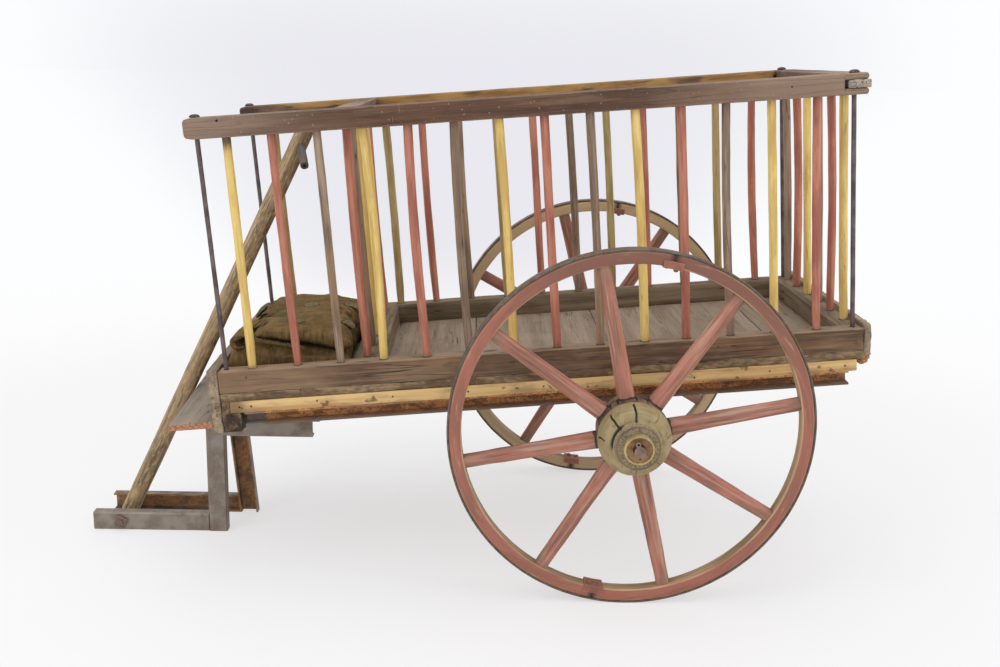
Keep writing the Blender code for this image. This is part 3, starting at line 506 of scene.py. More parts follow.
@material("faded red wheel paint")
def wheel_paint(finish):
    """Red on the outer face only; the inside and back of the rim are bare and olive-brown, with the back lightened
    as painted light. Painted shade darkens the rim round its top, and a pale line along the inner edge is worn
    paint with a painted highlight.
    """
    wood = finish.wood(tint(154, 126, 96), tint(194, 162, 122), tint(212, 186, 148), 51)
    tone = finish.noise((11, 34), 4, 3)
    finish.ground(tone.between(0.36, 0.62), finish.scene.cart_wheels.paint, tint(152, 96, 78))
    finish.coat(finish.noise((6, 90), 3, 9).between(0.52, 0.7) * 0.4, 186, 122, 100)
    # Painted shade on the rim round the top of the wheel
    shaded_top = 1 - finish.part("X").between(0.55, 0.9) + finish.part("X").between(5.25, 5.6)
    finish.coat(shaded_top.held() * 0.8, 124, 82, 68)
    finish.coat(finish.noise((16, 60), 4, 24).between(0.54, 0.66) * 0.55, 122, 92, 72)
    out = finish.part("Y") + (tone - 0.5) * 0.006
    up = finish.part("Z") + (finish.fibres - 0.5) * 0.004
    face = out.between(0.0112, 0.0138)
    # The bare inboard face is lightened: painted light
    wood = finish.blend(out.between(-0.0085, -0.0125) * 0.75, wood, tint(212, 184, 144))
    chips = finish.noise((18, 140), 5, 14).between(0.6, 0.67)
    worn = finish.noise((5, 20), 3, 18)
    # A pale line along the inner edge of the red face: worn paint and a painted highlight
    inner_edge_wear_and_highlight = up.between(-0.0095, -0.0120) * worn.between(0.38, 0.55)
    outer_line = up.between(0.0092, 0.0120) * worn.between(0.62, 0.45)
    bare = (chips * 0.55 + outer_line * 0.8 + (1 - face)).held()
    finish.coat(bare, wood)
    finish.coat(inner_edge_wear_and_highlight * face * 0.85, 206, 178, 138)
    finish.coat(finish.split, 36, 24, 20)
    return finish.wear(0.52 + bare * 0.2, 0.0006, finish.height * 0.5 - bare * 0.3 - finish.split)


@material("rubbed spoke paint")
def spoke_paint(finish):
    """Spokes are streaked along their grain, rubbed grey-pink and orange, and bare near the hub; the grey-pink
    streaks also stand for a painted sheen, and a dark ring where the spoke meets the hub is painted shade.
    """
    wood = finish.wood(tint(114, 92, 76), tint(154, 128, 108), tint(188, 162, 138), 61)
    along = finish.part("X")
    tone = finish.noise((9, 40), 4, 3)
    streaks = finish.noise((6, 130), 4, 9)
    finish.ground(tone.between(0.36, 0.6), tint(184, 118, 98), tint(152, 102, 84))
    # Grey-pink streaks: rubbed paint and a painted sheen
    finish.coat(streaks.between(0.5, 0.66) * 0.7, 190, 156, 136)
    finish.coat(streaks.between(0.46, 0.36) * 0.6, 108, 66, 54)
    finish.coat(finish.noise((7, 50), 3, 27).between(0.55, 0.68) * 0.45, 184, 118, 80)
    chips = finish.noise((14, 130), 5, 14).between(0.58, 0.66)
    root = 1 - (along + finish.noise((20, 40), 3, 5) * 0.1).between(0.09, 0.16)
    tip = (along + tone * 0.04).between(0.335, 0.362)
    bare = (chips * 0.45 + root * 0.45 + tip * 0.5).held()
    finish.coat(bare, wood)
    # Dark ring where the spoke enters the hub: painted shade in the mortise
    gap = along + finish.noise((30, 60), 2, 44) * 0.007
    finish.coat(gap.between(HUB_RADIUS + 0.0082, HUB_RADIUS + 0.0064).held() * 0.9, 26, 19, 16)
    return finish.wear(0.52 + bare * 0.2, 0.0007, finish.height * 0.5 + streaks * 0.4 - bare * 0.4)


@material("olive hub paint")
def hub_paint(finish):
    """Faded olive in rings, with grime and black drying cracks."""
    tone = finish.noise(26, 4, 3)
    rings = finish.noise((240, 10, 60), 3, 9)
    finish.ground(tone.between(0.35, 0.65), finish.scene.cart_wheels.hub, tint(146, 125, 84))
    finish.coat(rings.between(0.5, 0.7) * 0.4, 190, 172, 130)
    finish.coat(finish.noise((12, 30), 2, 17).between(0.5, 0.62) * 0.25, 134, 132, 94)
    grime = finish.noise(60, 4, 21).between(0.56, 0.7)
    finish.coat(grime * 0.55, 104, 86, 60)
    finish.coat(finish.split.between(0.1, 0.6), 22, 17, 13)
    return finish.wear(0.55 + grime * 0.2, 0.0007, rings * 0.4 + tone * 0.3)


@material("worn end grain")
def end_grain(finish):
    """Dark worn end grain round the hub box."""
    specks = finish.noise(240, 4, 3)
    finish.ground(specks.between(0.4, 0.65), tint(122, 106, 82), tint(166, 148, 118))
    finish.coat(finish.noise(50, 3, 9).between(0.5, 0.65) * 0.5, 152, 134, 104)
    finish.coat(finish.split.between(0.1, 0.6), 24, 19, 15)
    return finish.wear(0.8, 0.001, specks)


@material("dark hub waist")
def hub_waist(finish):
    """Dark brown-red hub between the spokes, with painted shade in the grooves beside them."""
    tone = finish.noise(40, 4, 3)
    finish.ground(tone.between(0.38, 0.62), tint(72, 56, 46), tint(126, 98, 80))
    finish.coat(finish.noise(90, 3, 8).between(0.55, 0.68) * 0.6, 146, 130, 96)
    # The grooves beside the spokes are darkened: painted shade
    finish.coat(finish.split.between(0.1, 0.6), 18, 13, 11)
    return finish.wear(0.75, 0.001, tone)


# Base, dark and rust colours, share of rust, roughness, whether it lies on a solid, and how metallic it is
METALS = {
    "dark forged iron": ((88, 78, 72), (58, 50, 46), (112, 72, 48), 0.38, 0.48, True, 0.55),
    "dark iron piece": ((92, 82, 76), (60, 52, 48), (118, 78, 52), 0.4, 0.48, False, 0.55),
    "tyre iron": (None, (86, 75, 67), (128, 94, 70), 0.42, 0.5, False, 0.55),
    "purple-grey rod": ((112, 98, 97), (78, 66, 66), (112, 78, 62), 0.28, 0.5, False, 0.3),
    "rusty bolt": ((124, 104, 92), (88, 70, 60), (128, 92, 74), 0.34, 0.6, True, 0.55),
    "worn axle end": ((150, 126, 114), (112, 88, 78), (128, 90, 68), 0.34, 0.5, False, 0.2),
    "red clip paint": ((164, 104, 87), (134, 88, 74), (140, 104, 80), 0.2, 0.6, True, 0.02),
    "red rivet paint": ((150, 96, 81), (122, 84, 72), (132, 98, 76), 0.2, 0.6, False, 0.02),
    "worn nose band": ((124, 107, 82), (94, 80, 62), (132, 98, 66), 0.3, 0.5, False, 0.1),
    "olive hub box": ((190, 170, 112), (148, 130, 86), (136, 102, 66), 0.26, 0.5, False, 0.1),
    "greasy hub dish": ((176, 138, 92), (136, 102, 68), (140, 98, 64), 0.3, 0.5, False, 0.1),
}


@cache
def metal(name):
    """Old iron, steel or painted metal: mottled, and rusty over its share of the surface."""
    base, dark, rust, rust_share, roughness, on_solid, metallic = METALS[name]
    base = tint(*base) if base else tuple(bpy.context.scene.cart_wheels.iron)
    rust = tint(*rust)
    finish = Finish(name, on_solid)
    mottle = finish.noise(22, 5, 3)
    pits = finish.noise(190, 4, 6)
    finish.ground(mottle.between(0.38, 0.62), base, tint(*dark))
    rusted = (finish.noise(11, 5, 11) + pits * 0.25).between(1.0 - rust_share, 1.18 - rust_share)
    finish.coat(rusted, finish.blend(pits.between(0.4, 0.6), rust, darker(rust, 0.45)))
    shine = finish.edges(0.0025)
    finish.coat(shine * 0.5, tuple(min(1.0, c * 1.9 + 0.02) for c in base))
    return finish.wear(roughness + rusted * 0.25 + pits * 0.1 - shine * 0.12, 0.0006, pits + rusted * 0.4,
                       metallic - rusted * metallic)


@material("stand steel", True)
def stand_steel(finish):
    """Grey-brown steel with rust freckles, and painted shade on the faces turned to the rear."""
    mottle = finish.noise(26, 5, 3)
    pits = finish.noise(150, 4, 6)
    finish.ground(mottle.between(0.36, 0.62), tint(150, 139, 127), tint(128, 117, 105))
    freckles = (pits * 0.5 + mottle * 0.5).between(0.54, 0.62)
    finish.coat(freckles * 0.6, 132, 96, 72)
    # Painted shade on the faces turned to the rear
    finish.coat(finish.facing("X").between(0.35, 0.75) * 0.5, 90, 78, 70)
    shine = finish.edges(0.0025)
    finish.coat(shine * 0.5, 168, 160, 150)
    return finish.wear(0.52 + freckles * 0.25 - shine * 0.1, 0.0007, pits + mottle * 0.4,
                       0.35 - freckles * 0.3)


@material("rusty hollow steel", True)
def channel_inside(finish):
    """The far frame of the stand shows its rusty hollow side."""
    mottle = finish.noise(30, 5, 3)
    pits = finish.noise(170, 4, 6)
    finish.ground(mottle.between(0.38, 0.62), tint(146, 132, 116), tint(104, 92, 80))
    rust = finish.blend(pits.between(0.35, 0.7), tint(186, 132, 86), tint(146, 106, 70))
    rust = finish.blend(mottle.between(0.50, 0.60) * 0.85, rust, tint(112, 96, 76))
    hollow = finish.facing("Y").between(-0.5, -0.8) * mottle.between(0.25, 0.38)
    finish.coat(hollow, rust)
    return finish.wear(0.55 + hollow * 0.25, 0.0007, pits + mottle * 0.5, 0.3 - hollow * 0.3)


@material("scaling rust", True)
def scaling_rust(finish):
    """Thick flaking rust on the channel under the floor, dark along its lower lip and with painted shade on its
    downward faces.
    """
    flakes = finish.noise((30, 70), 6, 3, 0.65)
    pits = finish.noise(190, 4, 8)
    finish.ground(flakes.between(0.38, 0.58), tint(150, 102, 64), tint(222, 156, 98))
    finish.coat(pits.between(0.5, 0.64) * 0.7, 108, 76, 56)
    finish.coat(finish.noise((9, 34), 4, 14).between(0.54, 0.62) * 0.75, 140, 112, 92)
    rise = finish.part("X") * FLOOR_UP.x + finish.part("Z") * FLOOR_UP.z
    level = rise - (AXLE.z * FLOOR_UP.z + AXLE.x * FLOOR_UP.x) + (pits - 0.5) * 0.004
    lip = level.between(LONGERON_FOOT + 0.0060, LONGERON_FOOT + 0.0035)
    # A dark band along the lower lip, and painted shade on the downward faces
    finish.coat((lip + finish.facing("Z").between(-0.5, -0.8)).held() * 0.9, 98, 84, 76)
    front = finish.part("X").between(LONGERON_TIP + 0.05, LONGERON_TIP + 0.03)
    finish.coat(front * 0.75, 120, 116, 114)
    return finish.wear(0.85, 0.0018, flakes + pits * 0.4)


@material("handled pole")
def pole_timber(finish):
    """Mottled round pole, dark where hands and weather have soaked it."""
    finish.wood(tint(122, 99, 72), tint(166, 138, 102), tint(198, 170, 128), 71)
    worn = finish.noise((8, 38), 4, 5)
    finish.coat(worn.between(0.52, 0.66) * 0.65, 186, 160, 118)
    finish.coat(worn.between(0.43, 0.32) * 0.5, 94, 78, 58)
    finish.coat(finish.noise((16, 110), 4, 12).between(0.54, 0.64) * 0.6, 98, 80, 58)
    grit = finish.noise((60, 220), 3, 44)
    finish.coat(grit.between(0.55, 0.68) * 0.6, 212, 184, 134)
    finish.coat(grit.between(0.42, 0.32) * 0.6, 92, 74, 52)
    finish.coat(finish.noise((26, 60), 2, 19).between(0.66, 0.74) * 0.7, 56, 44, 34)
    finish.coat(finish.split, 206, 172, 122)
    return finish.wear(0.42 + finish.fibres * 0.25, 0.0009)


@material("dark worn peg")
def peg_timber(finish):
    """Nearly black wood of the hand peg."""
    finish.wood(tint(54, 46, 42), tint(84, 74, 68), tint(122, 108, 96), 91)
    return finish.wear(0.5 + finish.fibres * 0.2, 0.0005)


@material("coarse olive cloth", True)
def cushion_cloth(finish):
    """Coarse napped cloth, greenish in places, with painted light on its upward faces and painted shade in its
    folds, wrinkle valleys, round the tufts and in the opening.
    """
    nap = finish.noise((130, 26, 18), 4, 3)
    ribs = finish.noise((420, 60, 45), 2, 13)
    weave = finish.noise(700, 2, 5)
    stains = finish.noise(15, 4, 8)
    finish.ground(stains.between(0.36, 0.64), tint(84, 66, 38), finish.scene.cart_cushion.cloth)
    finish.coat(nap.between(0.5, 0.68) * 0.6, 142, 116, 76)
    finish.coat(nap.between(0.46, 0.34) * 0.6, 64, 50, 32)
    finish.coat(ribs.between(0.5, 0.7) * 0.3, 150, 126, 84)
    finish.coat(weave.between(0.55, 0.75) * 0.4, 58, 46, 28)
    # Upward faces lightened: painted light
    finish.coat(finish.facing("Z").between(0.5, 0.95) * 0.4, 142, 114, 72)
    finish.coat(finish.noise(16, 3, 15).between(0.55, 0.66) * 0.5, 76, 84, 54)
    # Painted shade from the split attribute: folds, wrinkle valleys, round the tufts and in the opening
    finish.coat(finish.split * 0.92, 26, 20, 13)
    return finish.wear(0.95, 0.0014, nap * 0.5 + ribs * 0.3 + weave * 0.3, gloss=0.2)


@material("grey-green tuft cloth", True)
def tuft_cloth(finish):
    """Worn cloth of the tuft tabs and the flap."""
    threads = finish.noise(260, 3, 4)
    finish.ground(threads.between(0.35, 0.65), finish.scene.cart_cushion.tuft, tint(98, 92, 66))
    finish.coat(finish.split * 0.9, 28, 24, 16)
    return finish.wear(0.92, 0.001, threads, gloss=0.2)


@material("pale frayed thread", True)
def pale_thread(finish):
    """Thread ends and the button."""
    finish.ground(finish.noise(300, 2, 4), tint(164, 144, 104), tint(104, 84, 54))
    return finish.wear(0.9)


@material("sill timber")
def sill_timber(finish):
    """Brown outer faces, darkened in places and rubbed pale along the edges, where the pale is also a painted
    highlight.
    """
    finish.wood(tint(90, 66, 48), finish.scene.cart_timber.sill, tint(158, 132, 104), 17)
    stain = finish.noise((5, 22), 4, 12)
    finish.coat(stain.between(0.52, 0.68) * 0.6, 72, 52, 40)
    finish.coat(stain.between(0.42, 0.3) * 0.5, 140, 110, 82)
    front = 1 - (finish.part("X") + (stain - 0.5) * 0.5).between(0.05, 0.3)
    finish.coat(front * 0.6, 150, 120, 92)
    dust = finish.facing("Z").between(0.6, 0.9) * finish.noise((14, 40), 4, 31).between(0.3, 0.55)
    finish.coat(dust * 0.6, 164, 142, 116)
    # Pale rubbed edges that also serve as a painted highlight
    finish.coat(finish.rubbed(0.3, 0.55) * 0.8, 186, 162, 132)
    return finish.wear(0.66 + finish.fibres * 0.25, 0.0008)


@material("sheltered timber")
def sheltered_timber(finish):
    """Grey-green faces inside the cage, stained in places, and paler along the edges where they are rubbed and
    carry a painted highlight.
    """
    finish.wood(tint(92, 78, 60), finish.scene.cart_timber.shelter, tint(152, 134, 108), 37, 0.7)
    finish.coat(finish.noise((4, 16), 4, 2).between(0.54, 0.7) * 0.5, 62, 54, 44)
    # Paler edges: rubbed wear and a painted highlight
    rubbed = finish.edges() * finish.noise((14, 50), 2, 4).between(0.35, 0.55)
    finish.coat(rubbed * 0.45, 142, 130, 110)
    return finish.wear(0.78 + finish.fibres * 0.15, 0.0007)


@material("tongue timber")
def tongue_timber(finish):
    """Pale dry tongue of the rear rail, yellowish in places."""
    finish.wood(tint(142, 130, 116), tint(178, 168, 152), tint(206, 196, 178), 25)
    finish.coat(finish.noise((30, 40), 3, 4).between(0.5, 0.7) * 0.5, 196, 164, 112)
    finish.coat(finish.split, 50, 36, 26)
    return finish.wear(0.75 + finish.fibres * 0.2, 0.001)


@material("dusty floor planks")
def floor_timber(finish):
    """Dusty floor planks whose grain hardly shows, with a few dark knots and open joints."""
    timber = finish.scene.cart_timber
    finish.wood(timber.deck_dark, timber.deck, timber.deck_pale, 61, 0.45)
    finish.coat(finish.noise((5, 9), 5, 2).between(0.35, 0.65) * 0.45, 150, 134, 114)
    finish.coat(finish.noise((22, 110), 2, 27).between(0.7, 0.76) * 0.8, 58, 48, 38)
    finish.coat(finish.split, 30, 24, 18)
    return finish.wear(0.88, 0.0007)


@material("sawn plank ends", True)
def plank_end(finish):
    """Rough sawn plank ends, tan at the front of the cart and dark brown further back."""
    saw = finish.noise((60, 60, 150), 5, 3)
    finish.ground(saw.between(0.38, 0.62), tint(126, 102, 74), tint(158, 134, 102))
    finish.coat(finish.noise((5, 5, 26), 5, 9).between(0.47, 0.55) * 0.75, 94, 70, 50)
    finish.coat(saw.between(0.6, 0.72) * 0.4, 190, 168, 130)
    finish.coat(saw.between(0.4, 0.3) * 0.5, 66, 50, 36)
    finish.coat(finish.split, 34, 27, 21)
    return finish.wear(0.9, 0.0016, saw)


@material("dark broken bearer")
def bearer_timber(finish):
    """Dark brown cross bearer, with blackened cracks, a few paler torn fibres, and painted shade on its rear face.
    """
    finish.wood(tint(84, 64, 46), tint(122, 96, 68), tint(164, 138, 104), 93)
    torn = finish.noise(60, 4, 22)
    finish.coat(torn.between(0.54, 0.66) * 0.6, 170, 140, 102)
    finish.coat(torn.between(0.44, 0.34) * 0.7, 60, 46, 34)
    # Painted shade on the rear face, which sits in a hollow
    finish.coat(finish.facing("X").between(0.5, 0.8) * 0.75, 44, 36, 30)
    finish.coat(finish.split, 20, 15, 12)
    return finish.wear(0.85, 0.0012, finish.height + torn * 0.6)


@material("trodden footboard")
def footboard_timber(finish):
    """Smooth grey-beige board, rubbed by feet."""
    finish.wood(tint(132, 118, 104), tint(148, 134, 119), tint(166, 152, 136), 83, 0.25)
    return finish.wear(0.62 + finish.fibres * 0.15, 0.0005)


@material("reddish end grain")
def red_edge(finish):
    """Rough end grain of the footboard, reddish orange with dark pits."""
    pits = finish.noise((160, 160, 300), 4, 3)
    finish.ground(pits.between(0.35, 0.6), tint(132, 92, 70), tint(198, 138, 104))
    finish.coat(finish.noise((30, 30, 90), 3, 8).between(0.55, 0.7) * 0.6, 150, 120, 96)
    return finish.wear(0.85, 0.0015, pits)


@material("packing timber", True)
def solid_timber(finish):
    """Hidden blocks keep their solids, so their grain is taken from the place in the cart."""
    finish.wood(*timber_tints(finish.scene.cart_timber), 81)
    return finish.wear(0.8, 0.0007)


@material("dark hole")
def hole_dark(finish):
    """Nail holes and the sockets round the sticks."""
    finish.ground(finish.noise(400, 2), tint(20, 15, 12), tint(34, 26, 20))
    return finish.wear(0.9)


def dress_solid(name, finish, ease):
    """Keep a solid as it is, but soften its edges and give it a finish."""
    node = frame["nodes"][name]
    node.data.materials.clear()
    node.data.materials.append(finish)
    edge = node.modifiers.new("Softened edges", 'BEVEL')
    edge.width = ease
    edge.segments = 2
    edge.limit_method = 'ANGLE'
    edge.angle_limit = radians(35)
    edge.harden_normals = True


class Form:
    """A mesh in the making, with each point's place on the stuff that it is cut from."""

    def __init__(self):
        self.points = []
        self.grains = []
        self.splits = []
        self.faces = []
        self.skins = []

    def add(self, point, grain=(0.0, 0.0, 0.0), split=0.0):
        self.points.append(Vector(point))
        self.grains.append(Vector(grain))
        self.splits.append(split)
        return len(self.points) - 1

    def face(self, corners, skin=0):
        self.faces.append(tuple(corners))
        self.skins.append(skin)

    def loft(self, rings, skin=0, loop=False, end_skin=None):
        """Skin a run of rings, each a list of (point, grain) or (point, grain, split)."""
        rows = [[self.add(*corner) for corner in ring] for ring in rings]
        pairs = list(zip(rows, rows[1:]))
        if loop:
            pairs.append((rows[-1], rows[0]))
        for first, second in pairs:
            for i in range(len(first)):
                j = (i + 1) % len(first)
                self.face((first[i], first[j], second[j], second[i]), skin)
        if not loop:
            for row in (rows[0], rows[-1]):
                self.face(row, skin if end_skin is None else end_skin)

    def wrap(self, stations, turns, corner, **options):
        """Loft one ring per station, whose corners a function gives for each turn round the ring."""
        self.loft([[corner(station, turn) for turn in turns] for station in stations], **options)

    def piece(self, name, finishes, body="cart", place=None, slot=None, stands_for=(), sharp=42.0):
        """Make the object, let it ride on its body and, where it stands for solids, hide them."""
        place = place or Matrix.Identity(4)
        mesh = bpy.data.meshes.new(name)
        mesh.from_pydata([place @ point for point in self.points], [], self.faces)
        grain = mesh.attributes.new("grain", 'FLOAT_VECTOR', 'POINT')
        grain.data.foreach_set("vector", [value for point in self.grains for value in point])
        split = mesh.attributes.new("split", 'FLOAT', 'POINT')
        split.data.foreach_set("value", self.splits)
        for finish in finishes:
            mesh.materials.append(finish)
        mesh.polygons.foreach_set("material_index", self.skins)
        outward = bmesh.new()
        outward.from_mesh(mesh)
        bmesh.ops.recalc_face_normals(outward, faces=outward.faces)
        outward.to_mesh(mesh)
        outward.free()
        mesh.shade_smooth()
        mesh.set_sharp_from_angle(angle=radians(sharp))
        made = bpy.data.objects.new(name, mesh)
        bpy.context.scene.collection.objects.link(made)
        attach(made, body)
        if stands_for:
            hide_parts(*stands_for)
        return made


def rounded_section(half_a, half_b, ease, bends=3, side=0.012):
    """Points round a rectangle with eased corners and a few more along each side."""
    corners = []
    for sign_a, sign_b, start in ((1, 1, 0.0), (-1, 1, 0.5), (-1, -1, 1.0), (1, -1, 1.5)):
        arc = []
        for i in range(bends):
            angle = pi * (start + 0.5 * i / (bends - 1))
            arc.append(Vector((sign_a * (half_a - ease) + ease * cos(angle),
                               sign_b * (half_b - ease) + ease * sin(angle))))
        corners.append(arc)
    points = []
    for arc, following in zip(corners, corners[1:] + corners[:1]):
        points += arc
        start, end = arc[-1], following[0]
        steps = min(10, max(1, round((end - start).length / side)))
        points += [start.lerp(end, i / steps) for i in range(1, steps)]
    return points


def timber(form, low, high, along, seed, wear=None, ease=None, skin=0, end_skin=None, spacing=0.025):
    """A sawn timber between two corners; wear moves a point and may say how deep a crack is there."""
    settings = bpy.context.scene.cart_timber
    ease = settings.ease if ease is None else ease
    others = [axis for axis in (0, 1, 2) if axis != along]
    centre, half = (low + high) / 2, (high - low) / 2
    section = rounded_section(half[others[0]], half[others[1]], ease)
    count = max(3, round(2 * half[along] / spacing))
    reach = half[along]
    stations = [(-reach, 1.0), (-reach + ease * 0.4, 0.35)]
    stations += [(-reach + ease + (2 * reach - 2 * ease) * i / count, 0.0) for i in range(count + 1)]
    stations += [(reach - ease * 0.4, 0.35), (reach, 1.0)]
    own_waves = Vector((seed * 3.1, 0, 0))

    def corner(station, turn):
        (distance, shrink), (a, b) = station, turn
        point = Vector((0.0, 0.0, 0.0))
        point[along] = distance
        point[others[0]] = a * (1 - shrink * ease / half[others[0]])
        point[others[1]] = b * (1 - shrink * ease / half[others[1]])
        point += centre
        point += drift(point * 9.0 + own_waves) * settings.waves
        point += drift(point * 70.0 + own_waves) * settings.waves * 0.4
        split = 0.0
        if wear:
            point, split = wear(point)
        return point, (distance + reach, a + seed * 0.37, b + seed * 0.73), split
    form.wrap(stations, section, corner, skin=skin, end_skin=end_skin)


def round_bar(form, start, end, radius, seed=0.0, facets=12, rings=8, bow=(0.0, 0.0, 0.0), skin=0, shape=None,
              rough=0.0, worn=None):
    """A round bar between two points; shape gives a factor on its radius from 0 at start to 1 at end."""
    start, end = Vector(start), Vector(end)
    along = end - start
    turn = along.to_track_quat('Z', 'Y')

    def corner(t, angle):
        r = radius * (shape(t) if shape else 1.0)
        r += rough * wobble(cos(angle) * 1.4, sin(angle) * 1.4, t * along.length * 24 + seed * 7)
        centre = start.lerp(end, t) + Vector(bow) * sin(pi * t)
        offset = turn @ Vector((r * cos(angle), r * sin(angle), 0.0))
        grain = (t * along.length, r * cos(angle) + seed * 0.37, r * sin(angle) + seed * 0.73)
        return centre + offset, grain, worn(t) if worn else 0.0
    form.wrap([k / rings for k in range(rings + 1)], around(facets), corner, skin=skin)


def dome(form, point, normal, radius, height, skin=0, facets=10):
    """A low round head, such as a nail's or a rivet's."""
    turn = Vector(normal).to_track_quat('Z', 'Y')

    def corner(level, angle):
        share, lift = level
        offset = turn @ Vector((radius * share * cos(angle), radius * share * sin(angle), height * lift))
        return (Vector(point) + offset,) * 2
    form.wrap(((1.0, -0.3), (1.0, 0.25), (0.85, 0.7), (0.45, 1.0)), around(facets), corner, skin=skin)


def turned(form, profile, facets, skins=None, shape=None, split=None):
    """Turn (along, radius) points about the wheel's own axis."""
    rows = []
    for along, radius in profile:
        row = []
        for angle in around(facets):
            depth = split(angle, along, radius) if split else 0.0
            r = radius - depth * 0.004
            if shape:
                r += shape(angle, along, radius)
            point = (r * cos(angle), along, r * sin(angle))
            row.append(form.add(point, (along, angle * 0.06, radius), depth))
        rows.append(row)
    for k, (first, second) in enumerate(zip(rows, rows[1:])):
        for i in range(facets):
            j = (i + 1) % facets
            form.face((first[i], first[j], second[j], second[i]), skins[k] if skins else 0)


class CartOperator(bpy.types.Operator):
    """Common settings of the cart's operators."""
    bl_options = {'REGISTER', 'UNDO'}


class CART_OT_rails(CartOperator):
    """Top rails with the forked joint at the rear corners"""
    bl_idname = "cart.rails"
    bl_label = "Top rails"

    def execute(self, context):
        bars = {name: body_span(name + "_grille") for name in ("left", "right", "rear", "partition")}
        runs = (("left", 0), ("right", 0), ("rear", 1), ("partition", 1))
        for seed, (name, along) in enumerate(runs, start=2):
            low, high = bars[name]
            low = Vector((low.x, low.y, high.z - RAIL_HEIGHT))
            form = Form()
            if name == "rear":
                self.rear_rail(form, low, high, bars, seed)
            else:
                fork = bars["rear"][0] if along == 0 else None
                self.rail(form, low, high, along, seed, fork)
            timbers = ochre_timber() if name == "right" else rail_timber()
            form.piece(name + "_rail", [timbers, tongue_timber()], place=BODY, slot="cage_wood",
                       stands_for=[name + "_grille"])
        return {'FINISHED'}

    def rail(self, form, low, high, along, seed, fork):
        if fork is None:
            timber(form, low, high, along, seed, ease=0.004)
            return
        start = fork.x + TENON_PROUD - FORK_CLEARANCE
        middle = (low.z + high.z) / 2
        half = TENON_HEIGHT / 2 + 0.0004
        timber(form, low, Vector((start, high.y, high.z)), along, seed, wear=self.front_wear(low, high),
               ease=0.004, spacing=0.012)
        root = start - 0.002
        timber(form, Vector((root, low.y, middle + half)), high, along, seed, ease=0.0045)
        timber(form, Vector((root, low.y, low.z)), Vector((high.x, high.y, middle - half)), along, seed,
               ease=0.0045)

    def front_wear(self, low, high):
        """The front end is rubbed round and a nail has torn the upper edge."""
        def wear(point):
            rubbed = fade(point.x - low.x, 0.012)
            up = (point.z - (low.z + high.z) / 2) / (high.z - low.z) * 2
            point.z -= up * abs(up) * rubbed * rubbed * 0.006
            behind, under = point.x - low.x - 0.070, point.z - high.z + 0.006
            torn = exp(-((behind / 0.0065) ** 2 + (under / 0.006) ** 2))
            if point.y < (low.y + high.y) / 2:
                point.y += torn * 0.003
            return point, torn
        return wear

    def rear_rail(self, form, low, high, bars, seed):
        """Cross rail whose two tongues lie in the forks of the side rails."""
        inner = bars["left"][1].y
        front = bars["rear"][0].x
        middle = (low.z + high.z) / 2
        half = TENON_HEIGHT / 2
        timber(form, Vector((front, inner + 0.0005, low.z)),
               Vector((high.x - TENON_PROUD, -inner - 0.0005, high.z)), 1, seed, ease=0.004)

        def ragged(point):
            shake = drift(point * 160.0) * 0.0015
            return point + shake, max(0.0, noise.noise(point * 110.0) - 0.25)
        for side_low, side_high in ((low.y, inner + 0.002), (-inner - 0.002, high.y)):
            timber(form, Vector((front + 0.003, side_low, middle - half)),
                   Vector((high.x, side_high, middle + half)), 1, seed + 3, wear=ragged, ease=0.002,
                   spacing=0.006, skin=1)


